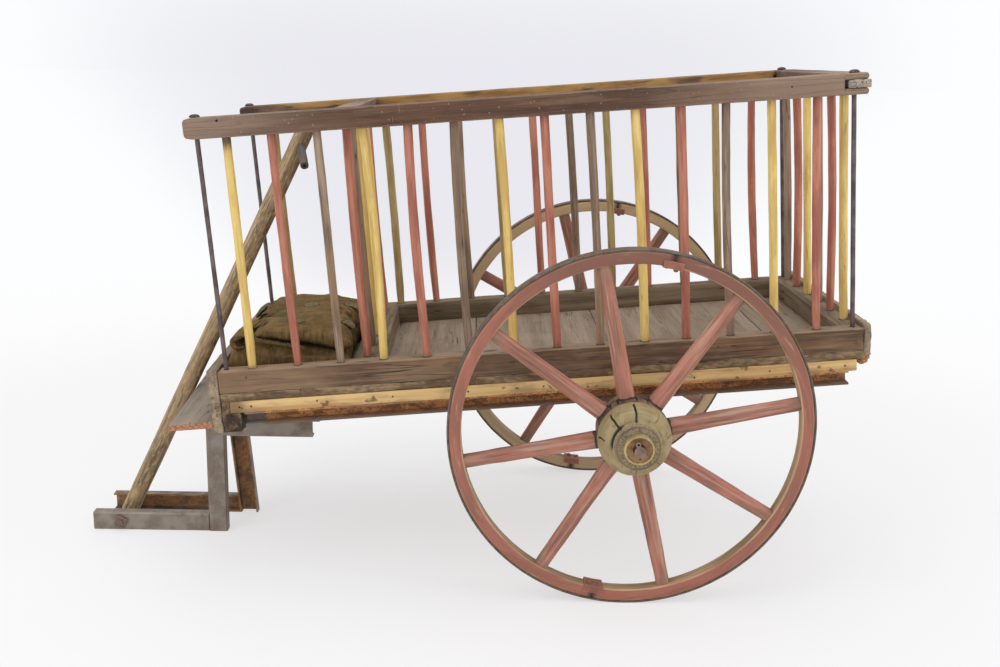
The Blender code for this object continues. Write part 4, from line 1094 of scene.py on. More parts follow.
class CART_OT_sticks(CartOperator):
    """Whittled cage sticks, each a little crooked, in worn paints"""
    bl_idname = "cart.sticks"
    bl_label = "Cage sticks"

    def execute(self, context):
        settings = context.scene.cart_sticks
        paints = [stick_paint(kind) for kind in ("yellow", "red", "bare", "shaded_yellow")]
        rod_front, rod_rear = (body_span(end + "_left_tie_rod") for end in ("front", "rear"))
        first = (rod_front[0].x + rod_front[1].x) / 2 + FIRST_STICK_GAP
        last = (rod_rear[0].x + rod_rear[1].x) / 2 - LAST_STICK_GAP
        rail_low, rail_high = body_span("left_grille")
        foot = body_span("left_sill")[1].z
        head = rail_high.z - RAIL_HEIGHT + STICK_ENTRY
        line = (rail_low.y + rail_high.y) / 2
        sockets = Form()
        for name, side in (("left", 1), ("right", -1)):
            form = Form()
            count = settings.side_count
            for i in range(count):
                x = first + (last - first) * i / (count - 1) + (0.010 if side < 0 and i == 1 else 0.0)
                # Every third far-side stick takes the darker yellow, which is painted shade
                skin = 3 if side < 0 and i % 3 == 0 else i % 3
                bare_top = (side > 0 and i == 0) or skin == 3
                seed = i + (20 if side < 0 else 0)
                self.stick(form, sockets, x, side * line, foot, head, seed, skin, settings, bare_top)
            form.piece(name + "_sticks", paints, place=BODY, slot="cage_wood", stands_for=[name + "_grille"])
        rows = (("rear", (0.0497, 0.0112), (0, 1, 2, 0, 1, 2), 50),
                ("partition", (0.0147, 0.0462), (1, 2, 0, 2, 0, 1), 70))
        for name, margins, skins, seed in rows:
            low, high = body_span(name + "_grille")
            x = (low.x + high.x - (TENON_PROUD if name == "rear" else 0.0)) / 2
            reach = rail_low.y + RAIL_WIDTH + 0.0003
            start, end = reach + margins[0], -reach - margins[1]
            form = Form()
            count = settings.end_count
            for i in range(count):
                y = start + (end - start) * i / (count - 1)
                self.stick(form, sockets, x, y, foot, head, i + seed, skins[i % len(skins)], settings)
            form.piece(name + "_sticks", paints, place=BODY, slot="cage_wood", stands_for=[name + "_grille"])
        sockets.piece("stick_sockets", [hole_dark()], place=BODY, slot="cage_wood")
        return {'FINISHED'}

    def stick(self, form, sockets, x, y, foot, head, seed, skin, settings, bare_top=False):
        wander = drift(Vector((seed * 5.3, 1.7, 0.4)))
        bow = Vector((wander.x, wander.y * 0.5, 0.0)) * settings.crook * 2
        lean = drift(Vector((seed * 3.7, 9.1, 2.2))) * 0.004
        radius = settings.radius * (1 + 0.14 * wander.z)

        def shape(t):
            swell = 1 + 0.07 * wobble(t * 5, seed * 2.1, 0.0)
            return swell * (1.0 if t > 0.06 else 0.9 + 0.1 * t / 0.06)

        def worn(t):
            return clamp((t - 0.93) / 0.02) * 0.85 if bare_top else 0.0
        at = x + lean.x, y + lean.y * 0.4
        round_bar(form, (*at, foot - 0.002), (x - lean.x * 0.4, y, head), radius, seed, 12, 22, bow, skin,
                  shape, rough=0.0006, worn=worn)
        dome(sockets, (*at, foot + 0.0001), (0, 0, 1), radius * 0.95 + 0.0012, 0.0006, facets=14)


class CART_OT_deck(CartOperator):
    """Sills, floor planks, strips, bearers, end boards and footboard"""
    bl_idname = "cart.deck"
    bl_label = "Deck and boards"

    def execute(self, context):
        self.sills()
        self.planks()
        self.strips()
        self.boards()
        return {'FINISHED'}

    def place(self, node, along, seed, finishes, slot, wear=None, **options):
        low, high = body_span(node)
        form = Form()
        timber(form, low, high, along, seed, wear=wear, **options)
        return form.piece(node + "_timber", finishes, place=BODY, slot=slot, stands_for=[node])

    def reface(self, piece, skin, test):
        """Give another finish to the faces whose outward direction in the cart passes a test."""
        for polygon in piece.data.polygons:
            if polygon.material_index == 0 and test(BODY_INVERSE.to_3x3() @ polygon.normal):
                polygon.material_index = skin

    def sills(self):
        rear = body_span("left_sill")[1].x

        def rotted(point):
            """The near sill's rear end has crumbled."""
            near_end = fade(rear - point.x, 0.05)
            crumble = drift(point * 90.0) * 0.004 * near_end
            split = near_end * max(0.0, noise.noise(point * 120.0)) * 1.2
            return point + crumble, min(1.0, split)

        def rubbed(point):
            return point + drift(point * 30.0) * 0.0008, 0.0
        wood = [sill_timber(), broken_wood(), sheltered_timber()]
        near = self.place("left_sill", 0, 11, wood, "cage_wood", rotted, end_skin=1, spacing=0.012)
        far = self.place("right_sill", 0, 12, wood, "cage_wood", rubbed)
        rear = self.place("rear_sill", 1, 13, wood, "cage_wood", rubbed)
        partition = self.place("partition_sill", 1, 14, wood, "cage_wood", rubbed)
        self.reface(near, 2, lambda normal: normal.y > 0.5)
        self.reface(far, 2, lambda normal: normal.y < 0.7)
        self.reface(rear, 2, lambda normal: normal.x < 0.7)
        self.reface(partition, 2, lambda normal: True)

    def planks(self):
        for number in range(1, 6):
            low, high = body_span(f"floor_plank_{number}")

            def worn_plank(point):
                """Ragged ends, and a dark open joint along both long edges."""
                out = max(0.0, (abs(point.y) - 0.29) / 0.016)
                chip = wobble(point.x * 55.0, point.y * 20, point.z * 60.0)
                point.y -= (0.004 * abs(chip) * out) * (1 if point.y > 0 else -1)
                point.z += 0.0015 * out * noise.noise(point * 80.0)
                gap = min(point.x - low.x, high.x - point.x)
                joint = fade(gap, 0.0014) if abs(point.y) < 0.29 else 0.0
                return point, max(joint, max(0.0, chip) * out * 0.9)
            wood = [floor_timber(), plank_end()]
            plank = self.place(f"floor_plank_{number}", 1, 20 + number, wood, "floor_wood", worn_plank,
                               ease=0.0015, spacing=0.012, end_skin=1)
            self.reface(plank, 1, lambda normal: abs(normal.y) > 0.6)

    def strips(self):
        for seed, name in enumerate(("left_strip", "right_strip"), start=31):
            low, high = body_span(name)
            joint = low.x + (high.x - low.x) * 0.36

            def butted(point):
                gap = bell(point.x - joint, 0.0035)
                outward = 1 if point.y > 0 else -1
                point.y -= outward * gap * 0.002
                return point, gap
            self.place(name, 0, seed, [pale_pine()], "pale_wood", butted, ease=0.001, spacing=0.006)

    def boards(self):
        front_low, front_high = body_span("front_board")

        def split_board(point):
            """A crack runs down the near end of the front board, which stands off the sill; its back face is
            darkened as painted shade.
            """
            line = bell(point.y - front_low.y - 0.010, 0.0022) * (point.x < front_high.x - 0.01) * 0.8
            # The back face, in the gap off the sill, is darkened: painted shade
            behind = fade(front_high.x - point.x, 0.002) * 0.9
            return point, max(line, behind)

        def broken_bearer(point):
            """The bearer's near end has opened in two cracks and a chunk curls off its lower corner."""
            out = fade(point.y + 0.306, 0.03)
            bend = 0.1 * (point.z - 0.05) + 9.0 * (point.z - 0.05) ** 2
            sway = 0.0025 * wobble(point.z * 90, 1.0, 0.0)
            first = bell(point.x + 0.843 + bend + sway, 0.0034)
            second = bell(point.x + 0.831 - 0.25 * (point.z - 0.05), 0.0018) * (point.z < 0.055)
            chunk = exp(-(((point.x + 0.822) / 0.009) ** 2 + ((point.z - 0.028) / 0.008) ** 2))
            lower_corner = max(0.0, point.x + 0.826) * max(0.0, 0.045 - point.z) * 26.0
            depth = (first + second) * out
            point += drift(point * 70.0) * 0.0024 * out
            point.x -= lower_corner * out
            point.y += depth * 0.008 + chunk * out * 0.007
            return point, min(1.0, depth * 1.6 + chunk * out * 0.5)

        def rotted_board(point):
            """The rear board's near end is ragged, with a slanting bite out of its lower corner."""
            low, high = body_span("rear_board")
            near = fade(point.y - low.y, 0.07)
            top = fade(high.z - point.z, 0.02)
            bite = wobble(point.y * 60, 3.0, 0.0)
            point.z -= top * (0.004 * abs(bite) + 0.009 * near * abs(noise.noise(point * 50.0)))
            slant = max(0.0, 1.0 - (point.y - low.y) / 0.034 - (point.z - low.z) / 0.030)
            shake = drift(point * 110.0) * 0.0045 * near
            point.z += slant * 0.020
            point.y += slant * 0.008
            return point + shake, near * max(0.0, noise.noise(point * 140.0))
        wood = [grey_timber(), broken_wood()]
        self.place("front_board", 1, 41, wood, "floor_wood", split_board, spacing=0.006)
        self.place("stand_bearer", 1, 42, wood, "floor_wood")
        board = self.place("rear_board", 1, 43, wood, "floor_wood", rotted_board, spacing=0.008, end_skin=1)
        edge = body_span("rear_board")
        for polygon in board.data.polygons:
            middle = BODY_INVERSE @ polygon.center
            low_down = middle.z < edge[0].z + (edge[1].z - edge[0].z) * 0.42
            if middle.y < edge[0].y + 0.045:
                polygon.material_index = 1 if low_down else 0
        self.bearer([bearer_timber()], broken_bearer)
        self.footboard()

    def bearer(self, wood, wear):
        low, high = body_span("front_bearer")
        shelf = body_span("left_strip")[0].z - 0.0005
        notch = body_span("left_strip")[0].x - 0.0004
        form = Form()
        timber(form, low, Vector((high.x, high.y, shelf)), 1, 44, wear=wear, ease=0.002, spacing=0.006)
        timber(form, Vector((low.x, low.y, shelf - 0.002)), Vector((notch, high.y, high.z)), 1, 45, wear=wear,
               ease=0.001, spacing=0.006)
        form.piece("front_bearer_timber", wood, place=BODY, slot="floor_wood", stands_for=["front_bearer"])

    def footboard(self):
        """Thin board, wider at its right end, whose near end shows rough reddish end grain."""
        solid = [BODY_INVERSE @ v.co for v in frame["nodes"]["footboard"].data.vertices]
        low, high = body_span("footboard")
        near_front = min(p.x for p in solid if p.y < 0)
        far_front = min(p.x for p in solid if p.y > 0)
        columns = 70
        rows = 8
        form = Form()
        rings = []
        for i in range(columns + 1):
            y = low.y + (high.y - low.y) * i / columns
            front = near_front + (far_front - near_front) * i / columns
            outline = [(high.x, low.z), (high.x, high.z)]
            outline += [(high.x + (front + 0.002 - high.x) * k / rows, high.z) for k in range(1, rows)]
            outline += [(front, high.z - 0.0015), (front, (low.z + high.z) / 2), (front, low.z + 0.001)]
            outline += [(front + 0.004, low.z), ((front + high.x) / 2, low.z)]
            ring = []
            for x, z in outline:
                point = Vector((x, y, z))
                point += drift(point * 20.0) * 0.0007
                if i < 2:
                    point += drift(point * 150.0) * 0.0016
                ring.append((point, (y + 2.0, x, z + 0.4)))
            rings.append(ring)
        form.loft(rings, end_skin=1)
        form.piece("footboard_timber", [footboard_timber(), red_edge()], place=BODY, slot="floor_wood",
                   stands_for=["footboard"])


class CART_OT_ironwork(CartOperator):
    """Tie rods, longerons, axle, stand and bolt, with nails in the timbers"""
    bl_idname = "cart.ironwork"
    bl_label = "Ironwork and nails"
    # Radius and height of a rod's domed head, as shares of the whole
    rod_head = ((1.0, 0.0), (1.03, 0.12), (0.98, 0.4), (0.8, 0.75), (0.45, 0.96), (0.1, 1.0))

    def execute(self, context):
        self.dress_solids()
        self.tie_rods()
        self.nails()
        return {'FINISHED'}

    def dress_solids(self):
        """These solids have the right shape already and only need softer edges and a finish."""
        bars = ("lower_arm", "leg", "upper_arm")
        groups = ((scaling_rust(), 0.0012, ("left_longeron", "right_longeron")),
                  (stand_steel(), 0.0012, ["left_" + bar for bar in bars]),
                  (channel_inside(), 0.0012, ["right_" + bar for bar in bars]),
                  (metal("rusty bolt"), 0.0014, ("pivot_bolt",)),
                  (metal("dark forged iron"), 0.001, ("axle", "left_linchpin", "right_linchpin")),
                  (solid_timber(), 0.0015, ("left_axle_block", "right_axle_block", "left_packing_block",
                                            "right_packing_block")))
        for finish, ease, names in groups:
            for name in names:
                dress_solid(name, finish, ease)

    def tie_rods(self):
        """Thin rods with domed heads on the rails."""
        for end in ("front", "rear"):
            for side in ("left", "right"):
                node = f"{end}_{side}_tie_rod"
                low, high = body_span(node)
                x, y = (low.x + high.x) / 2, (low.y + high.y) / 2
                seat = high.z - 0.006
                form = Form()
                round_bar(form, (x, y, low.z), (x, y, seat + 0.001), 0.005, x * 40, 14, 20, rough=0.0005,
                          skin=1)
                head = (high.x - low.x) / 2

                def corner(level, angle):
                    share, lift = level
                    r = head * share * (1 + 0.05 * wobble(cos(angle), sin(angle), x * 9))
                    return ((x + r * cos(angle), y + r * sin(angle), seat + 0.0062 * lift),) * 2
                form.wrap(self.rod_head, around(20), corner)
                irons = [metal("dark iron piece"), metal("purple-grey rod")]
                form.piece(node + "_iron", irons, place=BODY, slot="iron", stands_for=[node])

    def nails(self):
        """Nail heads along the strips, sills and front board, and two dark nail holes in the near rail."""
        form = Form()
        low, high = body_span("left_strip")
        for side in (-1, 1):
            face = -side * low.y
            for i in range(9):
                x = low.x + 0.025 + (high.x - low.x - 0.05) * i / 8
                z = (low.z + high.z) / 2 + 0.006 * wobble(x * 30, side, 0)
                dome(form, (x, face, z), (0, side, 0), 0.0022, 0.0008)
        low, high = body_span("left_sill")
        for side in (-1, 1):
            for i in range(6):
                x = low.x + 0.06 + (high.x - low.x - 0.12) * i / 5
                lift = 0.008 * wobble(x * 9, side, 1)
                dome(form, (x, side * abs(low.y), high.z - 0.016 + lift), (0, side, 0), 0.0024, 0.0009)
        low, high = body_span("front_board")
        for y in (-0.27, -0.1, 0.1, 0.27):
            for z in (0.05, 0.135):
                dome(form, (low.x, y, z), (-1, 0, 0), 0.0026, 0.001)
        form.piece("nails", [metal("dark iron piece")], place=BODY, slot="iron")
        form = Form()
        low, high = body_span("left_grille")
        for along, down, size in ((0.1985, 0.0217, 0.0030), (0.0705, 0.0085, 0.0026), (1.226, 0.019, 0.0024)):
            dome(form, (low.x + along, low.y + 0.0006, high.z - down), (0, -1, 0), size, 0.0007)
        low, high = body_span("left_strip")
        for along in (0.020, 0.045):
            dome(form, (low.x + along, low.y, (low.z + high.z) / 2), (0, -1, 0), 0.0022, 0.0006)
        form.piece("nail_holes", [hole_dark()], place=BODY, slot="cage_wood")


class CART_OT_wheels(CartOperator):
    """Two spoked wheels with cracked hubs, bent rims, clips and iron tyres"""
    bl_idname = "cart.wheels"
    bl_label = "Wheels"

    def execute(self, context):
        settings = context.scene.cart_wheels
        wheels = (("left_wheel", -1, settings.left_turn), ("right_wheel", 1, settings.right_turn))
        for name, side, turn in wheels:
            place = Matrix.Translation(AXLE) @ Matrix.Rotation(-turn, 4, 'Y')
            place = place @ Matrix.Diagonal((1, side, 1, 1))
            self.rim(name, place, settings)
            self.spokes(name, place, settings)
            self.hub(name, place)
            self.nose(name, place)
            self.clips(name, place, settings)
            self.axle_end(name.split("_")[0], side)
        return {'FINISHED'}

    def sizes(self):
        """Radius of the tyre, and inner and outer face of the rim, for the right-hand wheel."""
        low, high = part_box("right_wheel_tyre")
        return AXLE.z - low.z, low.y, high.y

    def rim(self, name, place, settings):
        radius, inner, outer = self.sizes()
        middle, half = (inner + outer) / 2, (outer - inner) / 2
        rim_outer = radius - settings.tyre - 0.0002
        depth = settings.felloe_depth
        section = rounded_section(half, depth / 2, 0.0035, 4, 0.007)
        half_turn = 90
        step = pi / half_turn
        for number, start in enumerate((settings.rim_joint, settings.rim_joint + pi)):
            def felloe(k, turn):
                a, b = turn
                angle = start + min(pi - 0.0012, step * k)
                gap = bell(min(k, half_turn - k) * step, 0.006)
                wave = wobble(cos(angle) * 5, sin(angle) * 5, a * 40 + b * 40 + number)
                nick = wobble(cos(angle) * 30, sin(angle) * 30, b * 90 + number)
                along = middle + a + (wave * 0.0008 + nick * 0.0004) * (1 if a > 0 else -1)
                r = rim_outer - depth / 2 + b + (nick * 0.0004 if b < 0 else 0.0)
                return (r * cos(angle), along, r * sin(angle)), (angle * r + number * 3, a, b), gap
            form = Form()
            form.wrap(range(half_turn + 1), section, felloe)
            half_name = ("front", "rear")[number]
            form.piece(f"{name}_rim_{half_name}", [wheel_paint()], name, place, "wheel_paint",
                       [f"{name}_felloe_{half_name}"])
        form = Form()
        section = rounded_section(half, settings.tyre / 2, 0.0012, 3, 0.012)

        def tyre(angle, turn):
            a, b = turn
            r = radius - settings.tyre / 2 + b
            dent = wobble(cos(angle) * 14, sin(angle) * 14, 3.0) * 0.0005
            return (r * cos(angle), middle + a + dent, r * sin(angle)), (cos(angle), sin(angle), a)
        form.wrap(around(180), section, tyre, loop=True)
        form.piece(name + "_tyre_iron", [metal("tyre iron")], name, place, "iron", [name + "_tyre"])

    def spokes(self, name, place, settings):
        """Oval spokes, thick at the hub, with flattened faces."""
        radius, inner, outer = self.sizes()
        middle = (inner + outer) / 2
        end = radius - settings.tyre - settings.felloe_depth + 0.001
        start = HUB_RADIUS - 0.006
        form = Form()
        facets = 20
        count = 24
        for number in range(settings.spokes):
            angle = 2 * pi * number / settings.spokes + radians(SPOKE_SETS[name][number])
            radial = Vector((cos(angle), 0, sin(angle)))
            across = Vector((-sin(angle), 0, cos(angle)))
            seed = number * 2.3 + (7 if name.startswith("right") else 0)

            def corner(t, turn):
                distance = start + (end - start) * t
                width = settings.spoke_root + (settings.spoke_tip - settings.spoke_root) * t ** 0.8
                thick = width * 0.84
                squareness = 3.0 - 0.7 * min(1.0, t * 3) + 0.5 * max(0.0, t - 0.85) / 0.15
                c, s = cos(turn), sin(turn)
                reach = (abs(c) ** squareness + abs(s) ** squareness) ** (-1 / squareness)
                uneven = wobble(t * 7, c + seed, s) * 0.0007
                point = radial * distance + across * (c * reach * width / 2 + uneven)
                point.y = middle + settings.dish * (1 - t) + s * reach * thick / 2 + uneven
                return point, (distance, c * reach * width / 2 + seed, s * reach * thick / 2)
            form.wrap([k / count for k in range(count + 1)],
                      [2 * pi * (i + 0.5) / facets for i in range(facets)], corner)
        form.piece(name + "_spokes", [spoke_paint()], name, place, "wheel_paint", [name + "_hub"])

    def hub(self, name, place):
        """Turned hub with drying cracks in its cap and a groove beside each spoke, darkened as painted shade."""
        settings = bpy.context.scene.cart_wheels
        rim_inner, rim_outer = self.sizes()[1:]
        rim = (rim_inner + rim_outer) / 2
        inner, nose = (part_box("right_wheel_hub")[i].y for i in (0, 1))
        cap = nose - 0.062
        ring_crack = cap + 0.043
        seed = 4.0 if name.startswith("left") else 11.0
        thick, medium, thin = 0.0019, 0.0012, 0.0006
        # Angle of each crack, where it starts and ends along the cap, and its width
        cracks = ((1.44, 0.0, 1.0, thick), (2.16, 0.15, 1.0, thick), (2.86, 0.0, 0.75, medium),
                  (0.70, 0.3, 0.95, thin), (0.04, 0.2, 0.8, thin), (5.36, 0.35, 1.0, thin),
                  (4.52, 0.45, 1.0, thin), (3.55, 0.1, 0.5, thin))
        profile = [(inner, 0.013), (inner, 0.047), (inner + 0.002, 0.050), (inner + 0.034, 0.060)]
        profile += [(rim - 0.030 + 0.004 * i, 0.0705 + 0.0004 * i) for i in range(15)]
        waist = len(profile)
        profile += [(cap - 0.005, 0.0752), (cap, HUB_RADIUS), (cap + 0.003, 0.0750)]
        steps = 16
        for i in range(1, steps + 1):
            t = i / steps
            along = cap + 0.003 + (ring_crack - cap - 0.003) * sin(t * pi / 2) ** 0.9
            profile.append((along, 0.0750 - 0.0245 * (1 - cos(t * pi / 2)) ** 0.85))
        profile += [(ring_crack + 0.002, 0.0485), (ring_crack + 0.005, 0.0470), (nose - 0.003, 0.0450),
                    (nose, 0.0425), (nose, 0.036), (nose, 0.030), (nose, 0.012)]
        facets = 320
        skins = [2] * waist + [0] * (len(profile) - waist - 6) + [1] * 5

        def split(angle, along, r):
            depth = 0.0
            if cap < along < nose - 0.004 and r > 0.03:
                t = (along - cap) / (ring_crack - cap)
                for at, start, end, width in cracks:
                    wander = 0.05 * wobble(t * 3.0, at * 5 + seed, 0.0)
                    gap = (angle - at - wander + pi) % (2 * pi) - pi
                    reach = clamp((t - start) / 0.12) * clamp((end + 0.1 - t) / 0.12)
                    depth += bell(gap * r, width * (0.6 + 0.5 * reach)) * reach * min(1.0, width / 0.0009)
                arc = 0.75 * bell(along - ring_crack, 0.0009)
                left = exp(-((angle - 2.5) / 0.55) ** 4)
                broken = wobble(cos(angle) * 1.6 + seed, sin(angle) * 1.6, 0.5)
                depth += arc * min(1.0, left + max(0.0, 0.08 + broken * 0.7))
            # Grooves beside the spokes, whose darkness is painted shade
            elif abs(along - rim - settings.dish) < 0.019:
                for number, offset in enumerate(SPOKE_SETS[name]):
                    gap = (angle - number * pi / 4 - radians(offset) + pi) % (2 * pi) - pi
                    edge = abs(abs(gap) * r - 0.0198)
                    depth += bell(edge, 0.0014)
            return min(1.0, depth)

        def uneven(angle, along, r):
            return 0.0008 * wobble(cos(angle) * 2 + seed, sin(angle) * 2, along * 30)
        form = Form()
        turned(form, profile, facets, skins, uneven, split)
        form.piece(name + "_hub_wood", [hub_paint(), end_grain(), hub_waist()], name, place, "hub_paint",
                   [name + "_hub"])

    def nose(self, name, place):
        """Band, nailed end grain and dished box at the hub's outer end."""
        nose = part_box("right_wheel_hub")[1].y
        form = Form()
        band = ((-0.012, 0.0432), (-0.012, 0.0450), (-0.001, 0.0452), (0.0002, 0.0446), (0.0002, 0.0415),
                (-0.002, 0.0415))
        turned(form, [(nose + along, radius) for along, radius in band], 72)
        for angle in (0.5, 1.35, 2.2, 3.5, 5.2):
            dome(form, (0.0378 * cos(angle), nose, 0.0378 * sin(angle)), (0, 1, 0), 0.0022, 0.0014)
        form.piece(name + "_nose_band", [metal("worn nose band")], name, place, "iron", [name + "_hub_band"])
        form = Form()
        lip = nose + 0.0143
        box = ((-0.002, 0.0300), (-0.0005, 0.0296), (0.0, 0.0286), (0.0, 0.0268), (-0.0015, 0.0258),
               (-0.005, 0.0240), (-0.0075, 0.0170), (-0.0075, 0.0123))
        profile = [(nose + 0.0003, 0.0305), (nose + 0.004, 0.0300)]
        profile += [(lip + along, radius) for along, radius in box]
        turned(form, profile, 96, [0] * 6 + [1] * 3)
        irons = [metal("olive hub box"), metal("greasy hub dish")]
        form.piece(name + "_box_iron", irons, name, place, "hub_paint", [name + "_hub_box"])

    def clips(self, name, place, settings):
        """The clips keep their solids; a lump of a bolt end and a face rivet are added."""
        radius, inner, outer = self.sizes()
        low = radius - settings.tyre - settings.felloe_depth - CLIP_THICKNESS - 0.0008
        form = Form()
        for half, middle in (("upper", settings.rim_joint), ("lower", settings.rim_joint + pi)):
            dress_solid(f"{name}_clip_{half}", metal("red clip paint"), 0.0008)
            for shift, size, height in ((-0.009, 0.0060, 0.0062), (0.011, 0.0042, 0.0030)):
                angle = middle + shift / low
                inward = Vector((-cos(angle), 0, -sin(angle)))
                lump = -inward * low + Vector((0, (inner + outer) / 2 + 0.003, 0))
                dome(form, lump, inward, size, height, facets=12)
            for shift in (-0.011, 0.012):
                angle = middle + shift / low
                outward = Vector((cos(angle), 0, sin(angle)))
                seat = outward * (low + 0.009) + Vector((0, outer + CLIP_THICKNESS, 0))
                dome(form, seat, (0, 1, 0), 0.0024, 0.0009)
        form.piece(name + "_clip_rivets", [metal("red rivet paint")], name, place, "wheel_paint")

    def axle_end(self, side_name, side):
        """A worn cap on the axle with the small loop of a cotter beside the pin."""
        low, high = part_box(f"{side_name}_linchpin")
        end = max(abs(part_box("axle")[0].y), abs(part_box("axle")[1].y))
        form = Form()
        dome(form, (AXLE.x, side * end, AXLE.z), (0, side, 0), 0.0112, 0.0016, facets=24)
        centre = Vector((AXLE.x - 0.004, side * (abs(low.y + high.y) / 2 + 0.004), high.z - 0.003))

        def cotter(angle, turn):
            radial = Vector((cos(angle), 0.0, sin(angle)))
            point = centre + radial * (0.0040 + 0.0015 * cos(turn))
            return (point + Vector((0.0, 0.0015 * sin(turn), 0.0)),) * 2
        form.wrap(around(22), around(8), cotter, loop=True)
        form.piece(side_name + "_axle_cap", [metal("worn axle end")], "cart", slot="iron")


class CART_OT_tongue(CartOperator):
    """Round pull pole with a chipped foot and a hand peg"""
    bl_idname = "cart.tongue"
    bl_label = "Pole and peg"

    def execute(self, context):
        turn = Matrix.Translation(PIVOT) @ Matrix.Rotation(atan2(POLE_UP.x, POLE_UP.z), 4, 'Y')
        inverse = turn.inverted()
        pole = [inverse @ v.co for v in frame["nodes"]["tongue_pole"].data.vertices]
        top = max(p.z for p in pole)
        radius = max(p.x for p in pole)
        form = Form()
        stations = [(-radius * 0.96, 0.25), (-radius * 0.8, 0.6), (-radius * 0.5, 0.86), (0.0, 1.0)]
        stations += [(0.014 * k, 1.0) for k in range(1, int((top - 0.02) / 0.014))]
        stations += [(top - 0.006, 0.99), (top - 0.002, 0.93), (top, 0.8)]

        def corner(station, angle):
            height, share = station
            lumps = wobble(cos(angle) * 1.2, sin(angle) * 1.2, height * 9)
            fine = wobble(cos(angle) * 4, sin(angle) * 4, height * 30)
            r = radius * share * (0.985 + 0.045 * lumps + 0.012 * fine)
            chip = self.chip(angle, height)
            r -= 0.0035 * chip
            bow = Vector((0.0, 0.0015 * sin(height * 3.0), 0.0))
            point = Vector((r * cos(angle), r * sin(angle), height)) + bow
            return point, (height, r * cos(angle), r * sin(angle)), chip * 0.8
        form.wrap(stations, around(28), corner)
        form.piece("tongue_pole_wood", [pole_timber()], "tongue", turn, "pole_wood", ["tongue_pole"])
        peg = [inverse @ v.co for v in frame["nodes"]["tongue_peg"].data.vertices]
        centre = sum(peg, Vector()) / len(peg)
        reach = max((p - centre).length for p in peg)
        aim = Vector((cos(PEG_DROOP) * sin(PEG_TURN), -cos(PEG_DROOP) * cos(PEG_TURN), -sin(PEG_DROOP)))
        aim = inverse.to_3x3() @ aim
        length = sqrt(reach ** 2 - PEG_RADIUS ** 2)
        form = Form()

        def shape(t):
            return 0.97 + 0.03 * sin(t * 9)
        round_bar(form, centre - aim * length, centre + aim * length, PEG_RADIUS, 3, 18, 24, shape=shape,
                  rough=0.0004)
        form.piece("tongue_peg_wood", [peg_timber()], "tongue", turn, "iron", ["tongue_peg"])
        form = Form()
        dome(form, centre + aim * (length - 0.0004), aim, 0.0045, 0.0008)
        form.piece("tongue_peg_hole", [hole_dark()], "tongue", turn, "iron")
        return {'FINISHED'}

    def chip(self, angle, height):
        """A pale flat where the foot of the pole was cut, on its lower near side."""
        around = (angle - radians(250.0) + pi) % (2 * pi) - pi
        return bell(around, 0.55) * exp(-((height - 0.052) / 0.020) ** 4)


